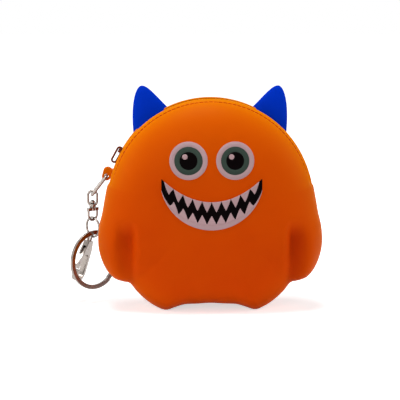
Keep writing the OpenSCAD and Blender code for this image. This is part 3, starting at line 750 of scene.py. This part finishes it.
class PURSE_OT_body(bpy.types.Operator):
    """Makes the moulded body as one skin with its slot, lips and sewn groove."""

    bl_idname = "purse.body"
    bl_label = "Silicone body"

    def execute(self, context):
        skin = Skin()
        bm = bmesh.new()
        bmesh.ops.create_uvsphere(bm, u_segments=COLUMNS, v_segments=2 * ROWS, radius=1.0)
        lay_down = Matrix.Rotation(math.pi / 2, 3, "X")
        bmesh.ops.rotate(bm, cent=(0, 0, 0), matrix=lay_down, verts=bm.verts)
        end = math.degrees(skin.s.slot_end) + 0.1
        turn_of = {v: math.degrees(math.atan2(v.co.x, v.co.z)) for v in bm.verts}
        slot = [
            edge
            for edge in bm.edges
            if all(abs(v.co.y) < TINY and abs(turn_of[v]) < end for v in edge.verts)
        ]
        bmesh.ops.split_edges(bm, edges=slot)
        rim = bm.verts.layers.float.new(PAINTED_GLOW_MASK)
        fold = bm.verts.layers.float.new(PAINTED_SHADE_MASK)
        places = {}
        for vert in bm.verts:
            turn = math.degrees(math.atan2(vert.co.x, vert.co.z))
            share = math.degrees(math.acos(min(1, abs(vert.co.y)))) / 90
            side = vertex_side(vert)
            last_tilt = math.degrees(math.acos(slot_lip(skin, turn) / skin.s.half_depth))
            place, outwards = skin.point(turn, share * last_tilt, side)
            places[vert] = place + outwards * lip_relief(skin, turn, place.y)
            # Painted light: lighter, yellower colour towards the rim, stronger towards the top.
            up = ease(*PAINTED_GLOW_RISE, place.z)
            vert[rim] = min(1, share**4 * (PAINTED_GLOW_LOW + (1 - PAINTED_GLOW_LOW) * up) + PAINTED_GLOW_CROWN * up * up)
            # Painted shade: darker colour in the creases beside the arms, stronger on the right.
            vert[fold] = (PAINTED_SHADE_LEFT if turn < 0 else PAINTED_SHADE_RIGHT) * skin.fold(place.x, place.z)
        for vert, place in places.items():
            vert.co = place
        body = finish_mesh(bm, "body_skin", silicone_material(), outwards=True)
        add_wall(body, skin.s.wall)
        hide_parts("front_shell", "back_shell")
        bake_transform(body)
        return {"FINISHED"}


STITCH_HALF = (1.06 * MM, 0.22 * MM, 0.26 * MM)
STITCH_SINK = 0.36 * MM
STITCH_LAST = 79.0
EAR_HALF_W = 9 * MM


def dome_place(skin, turn, y, radius):
    """Matrix that stands a piece on the round part: local Z outwards, X along the rim."""
    return (
        Matrix.Translation((0, y, skin.s.dome_height))
        @ Matrix.Rotation(math.radians(turn), 4, "Y")
        @ Matrix.Translation((0, 0, radius))
    )


class PURSE_OT_stitches(bpy.types.Operator):
    """Sews a row of stitches into the groove of each lip."""

    bl_idname = "purse.stitches"
    bl_label = "Lip stitches"

    def execute(self, context):
        skin = Skin()
        thread = thread_material()
        y = skin.s.slot_half + LIP_BAND
        radius = skin.dome_at(y) - STITCH_SINK
        step = math.degrees(skin.s.stitch_pitch / radius)
        count = int(STITCH_LAST / step)
        for body, side in (("front", -1), ("back", 1)):
            bm = bmesh.new()
            for i in range(-count, count + 1):
                at = dome_place(skin, i * step, side * y, radius)
                under_ear = abs(abs(at.translation.x) - skin.s.ear_base_x) < EAR_HALF_W
                if side > 0 and under_ear:
                    continue
                long_bead = at @ Matrix.Diagonal((*STITCH_HALF, 1))
                bmesh.ops.create_uvsphere(
                    bm, u_segments=8, v_segments=6, radius=1.0, matrix=long_bead
                )
            row = finish_mesh(bm, f"lip_stitches_{body}", thread)
            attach(row, body)
        return {"FINISHED"}


EAR_SET = 1.7 * MM
EAR_HALF_T = 2.8 * MM
EAR_OVER = 0.8 * MM
EAR_CAP = 0.15 * MM
EAR_SQUARE = 1.5


class PURSE_OT_ears(bpy.types.Operator):
    """Makes the two horn-shaped ears, set into the back half at its lip."""

    bl_idname = "purse.ears"
    bl_label = "Ears"

    def execute(self, context):
        skin = Skin()
        s = skin.s
        ear_y = s.slot_half - EAR_OVER + EAR_HALF_T
        for name, side in (("ear_left", -1), ("ear_right", 1)):
            tip_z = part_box(name)[1].z
            bm = bmesh.new()
            bmesh.ops.create_uvsphere(bm, u_segments=48, v_segments=40, radius=1.0)
            for vert in bm.verts:
                q = math.hypot(vert.co.x, vert.co.y)
                along = vert.co.z
                x = s.ear_base_x + EAR_HALF_W * vert.co.x
                y = ear_y + EAR_HALF_T * vert.co.y
                if along > 0:
                    edge = vert.co.xy / q if q > TINY else Vector((0, 0))
                    foot_x = s.ear_base_x + EAR_HALF_W * edge.x
                    foot_y = ear_y + EAR_HALF_T * edge.y
                    foot = skin.wall_z(foot_x, foot_y, EAR_SET)
                    rise = 1 - q * q
                    x += s.ear_lean * (1 - (1 - rise) ** EAR_SQUARE)
                    z = foot + (tip_z - foot) * rise
                else:
                    z = skin.wall_z(x, y, EAR_SET) + EAR_CAP * along
                vert.co = (side * x, y, z)
            ear = finish_mesh(bm, f"{name}_moulded", ear_material(), outwards=True)
            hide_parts(name)
            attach(ear, "back")
        return {"FINISHED"}


# Zip


ROW_HALF = 0.5 * MM
TOOTH_SIZE = (1.44 * MM, 1.8 * MM, 1.6 * MM)
TOOTH_ROUND = 0.3 * MM
TAPE_STEPS = 160
TAPE_ROWS = 8
TAPE_END = 81.5
SLIDER_AT = -61.0
SLIDER_TRAVEL = 135.0
SLIDER_LEN = 9 * MM
PARK_GAP = 0.8


def teeth_span(radius):
    """First and last angle of the rows of teeth, clear of the slider's two parking places."""
    half = math.degrees(SLIDER_LEN / 2 / radius) + PARK_GAP
    return SLIDER_AT + half, SLIDER_AT + SLIDER_TRAVEL - half


class PURSE_OT_zip(bpy.types.Operator):
    """Makes the tapes and rows of teeth, and dresses the slider, its pull and the stops."""

    bl_idname = "purse.zip"
    bl_label = "Zip"

    def tape(self, skin, body, side, radius):
        bm = bmesh.new()
        bmesh.ops.create_grid(bm, x_segments=TAPE_STEPS, y_segments=TAPE_ROWS, size=1.0)
        weave = bm.loops.layers.uv.new("weave")
        inner = ROW_HALF + 0.5 * TOOTH_SIZE[1]
        outer = skin.s.slot_half + TAPE_TUCK
        for face in bm.faces:
            for loop in face.loops:
                loop[weave].uv = (0.5 + loop.vert.co.x / 2, 0.5 + loop.vert.co.y / 2)
        for vert in bm.verts:
            turn = math.radians(TAPE_END * vert.co.x)
            y = inner + (outer - inner) * (0.5 + side * vert.co.y / 2)
            z = skin.s.dome_height + radius * math.cos(turn)
            vert.co = (radius * math.sin(turn), side * y, z)
        tape = finish_mesh(bm, f"woven_tape_{body}", tape_material())
        add_wall(tape, TAPE_T, 0.0)
        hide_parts(f"zip_tape_{body}")
        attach(tape, body)

    def teeth(self, skin, body, side, radius):
        bm = bmesh.new()
        step = math.degrees(skin.s.tooth_pitch / radius)
        start, end = teeth_span(radius)
        count = int((end - start) / step)
        centre_y = side * (ROW_HALF + TOOTH_SIZE[1] / 2)
        for i in range(count):
            at = dome_place(skin, start + (i + 0.5) * step, centre_y, radius)
            bmesh.ops.create_cube(bm, size=1.0, matrix=at @ Matrix.Diagonal((*TOOTH_SIZE, 1)))
        bmesh.ops.bevel(
            bm,
            geom=bm.edges[:],
            offset=TOOTH_ROUND,
            affect="EDGES",
            segments=2,
            profile=0.5,
            material=-1,
        )
        moulded = print_material("zip teeth", colours().teeth, 0.35)
        row = finish_mesh(bm, f"moulded_teeth_{body}", moulded)
        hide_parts(f"zip_teeth_{body}")
        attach(row, body)

    def execute(self, context):
        skin = Skin()
        radius = skin.tape_radius()
        for body, side in (("front", -1), ("back", 1)):
            self.tape(skin, body, side, radius)
            self.teeth(skin, body, side, radius)
        bronze = bronze_material()
        dress(("zip_slider", "zip_stop_closed", "zip_stop_open"), bronze, edge=0.12 * MM)
        dress(("zip_pull",), bronze)
        return {"FINISHED"}


# Printed face


PRINT_IN = 0.3 * MM
EDGE = 0.1 * MM
PRINT_STEPS = 64
PRINT_WELD = 0.001 * MM
PRINT_LAP = 0.15 * MM
IRIS_RISE = 0.04 * MM
PUPIL_RISE = 0.08 * MM
GLINT_RISE = 0.15 * MM
GLINT_PLACE = (-0.4, 0.45)


def lay_on_face(bm, skin):
    """Moves points whose y is a height over the face onto the face."""
    for vert in bm.verts:
        vert.co.y = skin.face_y(vert.co.x, vert.co.z) - vert.co.y


def ring_print(bm, x, z, inner, outer, height):
    """A flat ring, or a disc when inner is 0, with soft edges, as heights over the face."""
    ring = [(outer, -PRINT_IN), (outer, height - EDGE), (outer - EDGE, height)]
    steps = max(2, int((outer - inner) / MM))
    spread = [outer - EDGE + (inner + EDGE - outer + EDGE) * i / steps for i in range(1, steps)]
    ring += [(r, height) for r in spread]
    if inner > 0:
        ring += [(inner + EDGE, height), (inner, height - EDGE), (inner, -PRINT_IN)]
    else:
        ring += [(0.0, height)]
    profile = [(x + r, h, z) for r, h in ring]
    full_turn(bm, profile, (x, 0, z), (0, 1, 0), PRINT_STEPS, closed=inner > 0)


def finish_print(bm, skin, name, replaced, slot):
    """Lays a print on the face, in the colour that its slot names."""
    tint = slot.removeprefix("print_")
    material = print_material(f"{tint} print", getattr(colours(), tint))
    bmesh.ops.remove_doubles(bm, verts=bm.verts, dist=PRINT_WELD)
    lay_on_face(bm, skin)
    piece = finish_mesh(bm, name, material, outwards=True)
    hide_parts(replaced)
    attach(piece, "front")
    return piece


class PURSE_OT_eyes(bpy.types.Operator):
    """Prints the rings, irises, pupils and glints of the eyes."""

    bl_idname = "purse.eyes"
    bl_label = "Eyes"

    def execute(self, context):
        skin = Skin()
        f = face_sizes()
        eye, iris, pupil = f.eye_radius, f.iris_radius, f.pupil_radius
        middle, glint = (0, 0), [share * pupil for share in GLINT_PLACE]
        parts = (
            ("eye_ring_prints", "eye_rings", "print_lilac", middle, iris - PRINT_LAP, eye, 0),
            ("iris_prints", "irises", "print_green", middle, pupil - PRINT_LAP, iris, IRIS_RISE),
            ("pupil_prints", "pupils", "print_black", middle, 0, pupil, PUPIL_RISE),
            ("glint_prints", "glints", "print_lilac", glint, 0, f.glint_radius, GLINT_RISE),
        )
        for name, node, slot, (dx, dz), inner, outer, extra in parts:
            bm = bmesh.new()
            for side in (-1, 1):
                ring_print(bm, side * f.eye_x + dx, f.eye_z + dz, inner, outer, f.print_out + extra)
            finish_print(bm, skin, name, node, slot)
        return {"FINISHED"}


LIP_PRINT = 3 * MM
GRIN_STEPS = 96
GRIN_END = 0.985
ROUND_LOW = 0.97
LIP_RISE = 0.1 * MM
TOOTH_RISE = 0.15 * MM
TOOTH_FULL = 0.1 * MM
UPPER_REACH = 0.46
LOWER_REACH = 0.38
TOOTH_CURVE = 1.15
TOOTH_POINT = 0.03
GRIN_SPAN = 0.93
TOOTH_FILL = 0.98
TOOTH_LAP = 0.4 * MM


class Grin:
    """The crescent of the mouth: heights of its edges over u, which runs from -1 to 1."""

    def __init__(self):
        self.f = face_sizes()

    def top(self, u):
        return self.f.top_z + (self.f.corner_z - self.f.top_z) * u * u

    def low(self, u):
        rise = 1 - math.sqrt(1 - ROUND_LOW * u * u)
        return self.f.low_z + (self.f.corner_z - self.f.low_z) * rise

    def lip(self, u):
        return min(self.top(u), self.low(u) + LIP_PRINT * math.sqrt(max(0, 1 - u * u)))


def sheet_print(bm, across, up, place):
    """Adds a grid; place(u, v) gives x, height and z for u from -1 to 1 and v from 0 to 1."""
    made = bmesh.ops.create_grid(bm, x_segments=across, y_segments=up, size=1.0)
    for vert in made["verts"]:
        vert.co = place(vert.co.x, 0.5 + vert.co.y / 2)


class PURSE_OT_mouth(bpy.types.Operator):
    """Prints the grin: its dark field, the pale lower lip and two rows of pointed teeth."""

    bl_idname = "purse.mouth"
    bl_label = "Mouth"

    def execute(self, context):
        skin = Skin()
        grin = Grin()
        f = grin.f

        def band(top, height):
            def place(u, v):
                w = GRIN_END * math.sin(math.pi / 2 * u)
                return (f.mouth_half * w, height, grin.low(w) * (1 - v) + top(w) * v)

            return place

        bm = bmesh.new()
        sheet_print(bm, GRIN_STEPS, 20, band(grin.top, f.print_out))
        mouth = finish_print(bm, skin, "mouth_print", "mouth", "print_black")
        bm = bmesh.new()
        sheet_print(bm, GRIN_STEPS, 4, band(grin.lip, f.print_out + LIP_RISE))
        lip_piece = finish_print(bm, skin, "lip_band_print", "lip_print", "print_lilac")
        bm = bmesh.new()
        step = 2 * GRIN_SPAN / f.teeth
        for i in range(f.teeth):
            self.fang(bm, grin, -GRIN_SPAN + i * step, step, True)
        for i in range(f.teeth - 1):
            self.fang(bm, grin, -GRIN_SPAN + (i + 0.5) * step, step, False)
        teeth = finish_print(bm, skin, "grin_teeth_pieces", "grin_teeth_print", "print_lilac")
        for piece in (mouth, lip_piece, teeth):
            add_wall(piece, PRINT_IN + f.print_out)
        return {"FINISHED"}

    def fang(self, bm, grin, start, step, upper):
        """One tooth, pointing into the mouth, a little fuller in the middle than at its sides."""
        f = grin.f
        last = start + TOOTH_FILL * step
        middle = (start + last) / 2
        edge = grin.top if upper else (lambda u: grin.lip(u) - TOOTH_LAP)
        gap = grin.top(middle) - grin.lip(middle)
        tip = grin.top(middle) - UPPER_REACH * gap
        if not upper:
            tip = grin.lip(middle) + LOWER_REACH * gap

        def place(u, v):
            narrow = (1 - v**TOOTH_CURVE) * (1 - TOOTH_POINT) + TOOTH_POINT
            w = middle + (last - start) / 2 * u * narrow
            z = edge(w) * (1 - v) + tip * v
            fuller = TOOTH_FULL * (1 - u * u) * (1 - v)
            return (f.mouth_half * w, f.print_out + TOOTH_RISE + fuller, z)

        sheet_print(bm, 6, 8, place)


# Key chain


TAB_HOLE = 1.15 * MM
TAB_T = 1.1 * MM
TAB_W = 3.6 * MM
TAB_RISE = 2.2 * MM
TAB_LEAN = 0.6 * MM
TAB_SET = 1.1 * MM
STEM_SHARE = 1.6
STEM_ROOM = 0.04 * MM


class PURSE_OT_tab(bpy.types.Operator):
    """Makes the silicone strap that holds the chain."""

    bl_idname = "purse.tab"
    bl_label = "Key tab"

    def execute(self, context):
        skin = Skin()
        joint = next(j for j in frame["joints"] if j["name"] == "link_swing")
        pivot = Vector(joint["pos_m"])
        span = math.hypot(TAB_LEAN, TAB_RISE)
        tilt = math.atan2(TAB_LEAN, TAB_RISE)
        upright = Matrix.Rotation(tilt, 4, "Y") @ Matrix.Rotation(math.pi / 2, 4, "X")
        at = Matrix.Translation(pivot) @ upright
        bm = bmesh.new()
        loops = []
        for radius, rise in ((TAB_HOLE, 0), (TAB_HOLE + TAB_T, span)):
            circle = bmesh.ops.create_circle(bm, segments=48, radius=radius)["verts"]
            for vert in circle:
                if vert.co.y > TINY:
                    vert.co.y += rise
            loops += list({e for v in circle for e in v.link_edges})
        ring = bmesh.ops.bridge_loops(bm, edges=loops)["faces"]
        bmesh.ops.translate(bm, verts=bm.verts, vec=(0, 0, -TAB_W / 2))
        side = bmesh.ops.extrude_face_region(bm, geom=ring)["geom"]
        moved = [v for v in side if isinstance(v, bmesh.types.BMVert)]
        bmesh.ops.translate(bm, verts=moved, vec=(0, 0, TAB_W))
        bmesh.ops.transform(bm, matrix=at, verts=bm.verts)
        high = pivot + Vector((TAB_LEAN, 0, TAB_RISE))
        up = high.z - skin.s.dome_height
        out = math.atan2(high.x, up)
        stem = math.hypot(high.x, up) - skin.dome_at(high.y - TAB_W / 2) + TAB_SET
        width = STEM_SHARE * (TAB_HOLE + TAB_T)
        bmesh.ops.create_cube(
            bm,
            size=1.0,
            matrix=Matrix.Translation(high)
            @ Matrix.Rotation(out, 4, "Y")
            @ Matrix.Translation((0, 0, -stem / 2))
            @ Matrix.Diagonal((width, TAB_W - STEM_ROOM, stem, 1)),
        )
        tab = finish_mesh(bm, "key_tab_strap", painted_light_tab_material(), outwards=True)
        soften(tab, 0.25 * MM, segments=3)
        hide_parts("key_tab")
        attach(tab, "back")
        return {"FINISHED"}


KEY_TURN = math.radians(42)
KEY_OUTER = 15 * MM
KEY_BAND = 2.2 * MM
KEY_THICK = 1.9 * MM
COIL_GAP = 0.06 * MM
COIL_ROOM = 0.02 * MM
COIL_STEPS = 192
COIL_START = 0.9


class PURSE_OT_chain(bpy.types.Operator):
    """Winds the split key ring and dresses the links, the swivel and the clasp."""

    bl_idname = "purse.chain"
    bl_label = "Key chain"

    def key_ring(self):
        low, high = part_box("key_ring")
        coil = (KEY_THICK - COIL_GAP) / 2 - COIL_ROOM
        half = coil / 2
        start = -KEY_THICK / 2 + half
        rise = KEY_THICK - coil
        bm = bmesh.new()
        corners = (
            (KEY_OUTER - KEY_BAND, start - half),
            (KEY_OUTER, start - half),
            (KEY_OUTER, start + half),
            (KEY_OUTER - KEY_BAND, start + half),
        )
        verts = [bm.verts.new((r, y, 0)) for r, y in corners]
        band = bm.faces.new(verts)
        bmesh.ops.spin(
            bm,
            geom=[band],
            cent=(0, 0, 0),
            axis=(0, 1, 0),
            dvec=(0, rise / COIL_STEPS, 0),
            angle=4 * math.pi,
            steps=COIL_STEPS,
        )
        turned = Matrix.Rotation(KEY_TURN, 4, "Z") @ Matrix.Rotation(COIL_START, 4, "Y")
        at = Matrix.Translation((low + high) / 2) @ turned
        bmesh.ops.transform(bm, matrix=at, verts=bm.verts)
        ring = finish_mesh(bm, "split_ring", nickel_material(), outwards=True)
        soften(ring, 0.15 * MM)
        smooth_by_angle(ring, 30)
        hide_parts("key_ring")
        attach(ring, "ring")

    def execute(self, context):
        self.key_ring()
        nickel = nickel_material()
        dress(("upper_link", "swivel_eye", "swivel_pin", "lower_link"), nickel)
        dress(("swivel_yoke",), nickel, edge=0.15 * MM)
        dress(("clasp_body",), nickel, edge=0.3 * MM)
        dress(("clasp_lever",), nickel, edge=0.2 * MM)
        dress(("clasp_pin", "clasp_spring"), nickel, edge=0.08 * MM)
        return {"FINISHED"}


# Stage


SENSOR = 36.0
CLIP_NEAR = 10 * MM
GLOW_NEAR = 0.6
GLOW_FROM = 0.07
GLOW_TO = 0.2
ROOM_LIGHT = 0.14
LAMP_AIM = (0, 0, 0.05)
LAMPS = (
    ("top", (-0.1, -0.1, 0.9), 0.45, 4.6),
    ("left", (-0.8, -0.15, 0.35), 0.4, 1.7),
    ("right", (0.8, -0.15, 0.35), 0.4, 2.1),
    ("front", (-0.35, -0.85, 0.45), 0.4, 1.6),
)


def area_light(name, place, target, size, power):
    lamp = bpy.data.lights.new(name, "AREA")
    lamp.shape = "DISK"
    lamp.size = size
    lamp.energy = power
    obj = bpy.data.objects.new(name, lamp)
    bpy.context.scene.collection.objects.link(obj)
    obj.location = place
    obj.rotation_euler = (Vector(target) - Vector(place)).to_track_quat("-Z", "Y").to_euler()


def seen_directly(tree):
    """1 for rays from the camera, or off metal or through glass."""
    path = add_node(tree, "ShaderNodeLightPath")
    seen = math_node(tree, "MAXIMUM", path.outputs["Is Camera Ray"], path.outputs["Is Glossy Ray"])
    return math_node(tree, "MAXIMUM", seen, path.outputs["Is Transmission Ray"])


class PURSE_OT_stage(bpy.types.Operator):
    """Sets the floor, the light and the camera."""

    bl_idname = "purse.stage"
    bl_label = "Stage"

    def execute(self, context):
        stage = context.scene.purse_stage
        bm = bmesh.new()
        bmesh.ops.create_grid(bm, x_segments=1, y_segments=1, size=4.0)
        floor = finish_mesh(bm, "floor", self.floor_material(), smooth=False)
        self.light(context)
        self.camera(context, stage)
        context.scene.view_settings.view_transform = "Standard"
        return {"FINISHED"}

    def floor_material(self):
        """Pale floor that fades to white away from the purse, where it is looked at."""
        material = bpy.data.materials.new("plain floor")
        material.use_nodes = True
        tree = material.node_tree
        shader = tree.nodes["Principled BSDF"]
        shader.inputs["Base Color"].default_value = rgba(colours().floor)
        shader.inputs["Roughness"].default_value = 0.9
        shader.inputs["Specular IOR Level"].default_value = 0.0
        place = add_node(tree, "ShaderNodeTexCoord").outputs["Object"]
        far = add_node(tree, "ShaderNodeVectorMath", operation="LENGTH")
        tree.links.new(place, far.inputs[0])
        fade = add_node(tree, "ShaderNodeMapRange", interpolation_type="SMOOTHSTEP")
        tree.links.new(far.outputs["Value"], fade.inputs["Value"])
        limits = {"From Min": GLOW_FROM, "From Max": GLOW_TO, "To Min": GLOW_NEAR, "To Max": 1.0}
        for label, value in limits.items():
            fade.inputs[label].default_value = value
        glow = math_node(tree, "MULTIPLY", fade.outputs[0], seen_directly(tree))
        shader.inputs["Emission Color"].default_value = (1, 1, 1, 1)
        tree.links.new(glow, shader.inputs["Emission Strength"])
        return material

    def light(self, context):
        world = bpy.data.worlds.new("soft room")
        context.scene.world = world
        world.use_nodes = True
        tree = world.node_tree
        room = tree.nodes["Background"]
        room.inputs["Color"].default_value = (1, 1, 1, 1)
        room.inputs["Strength"].default_value = ROOM_LIGHT
        backdrop = add_node(tree, "ShaderNodeBackground")
        backdrop.inputs["Color"].default_value = (1, 1, 1, 1)
        backdrop.inputs["Strength"].default_value = 1.0
        mix = add_node(tree, "ShaderNodeMixShader")
        tree.links.new(seen_directly(tree), mix.inputs[0])
        tree.links.new(room.outputs[0], mix.inputs[1])
        tree.links.new(backdrop.outputs[0], mix.inputs[2])
        tree.links.new(mix.outputs[0], tree.nodes["World Output"].inputs[0])
        for name, place, size, power in LAMPS:
            area_light(name, place, LAMP_AIM, size, power)

    def camera(self, context, stage):
        data = bpy.data.cameras.new("photo view")
        data.sensor_width = SENSOR
        data.lens = stage.lens
        data.clip_start = CLIP_NEAR
        camera = bpy.data.objects.new("photo view", data)
        context.scene.collection.objects.link(camera)
        context.scene.camera = camera
        distance = stage.view_width * stage.lens / SENSOR
        aim = Vector((stage.aim_x, 0, stage.aim_z))
        away = Vector(
            (
                math.sin(stage.azimuth) * math.cos(stage.elevation),
                -math.cos(stage.azimuth) * math.cos(stage.elevation),
                math.sin(stage.elevation),
            )
        )
        camera.location = aim + distance * away
        camera.rotation_euler = (-away).to_track_quat("-Z", "Y").to_euler()


class PURSE_PT_panel(bpy.types.Panel):
    """Lists the purse's sizes, colours and pieces."""

    bl_idname = "PURSE_PT_panel"
    bl_label = "Coin Purse"
    bl_space_type = "VIEW_3D"
    bl_region_type = "UI"
    bl_category = "Coin Purse"

    def draw(self, context):
        scene = context.scene
        for group in (scene.purse_sizes, scene.purse_face, scene.purse_colours, scene.purse_stage):
            for name in group.__annotations__:
                self.layout.prop(group, name)
        for operator in OPERATORS:
            self.layout.operator(operator.bl_idname)


OPERATORS = (
    PURSE_OT_body,
    PURSE_OT_stitches,
    PURSE_OT_ears,
    PURSE_OT_zip,
    PURSE_OT_eyes,
    PURSE_OT_mouth,
    PURSE_OT_tab,
    PURSE_OT_chain,
    PURSE_OT_stage,
)
GROUPS = (
    ("purse_sizes", PurseSizes),
    ("purse_face", FaceSizes),
    ("purse_colours", PurseColours),
    ("purse_stage", StageSizes),
)


def register():
    for name, group in GROUPS:
        bpy.utils.register_class(group)
        setattr(bpy.types.Scene, name, bpy.props.PointerProperty(type=group))
    for operator in OPERATORS:
        bpy.utils.register_class(operator)
    bpy.utils.register_class(PURSE_PT_panel)


def unregister():
    bpy.utils.unregister_class(PURSE_PT_panel)
    for operator in reversed(OPERATORS):
        bpy.utils.unregister_class(operator)
    for name, group in reversed(GROUPS):
        delattr(bpy.types.Scene, name)
        bpy.utils.unregister_class(group)


def main():
    register()
    bpy.ops.purse.body()
    bpy.ops.purse.stitches()
    bpy.ops.purse.ears()
    bpy.ops.purse.zip()
    bpy.ops.purse.eyes()
    bpy.ops.purse.mouth()
    bpy.ops.purse.tab()
    bpy.ops.purse.chain()
    bpy.ops.purse.stage()


if __name__ == "__main__":
    main()
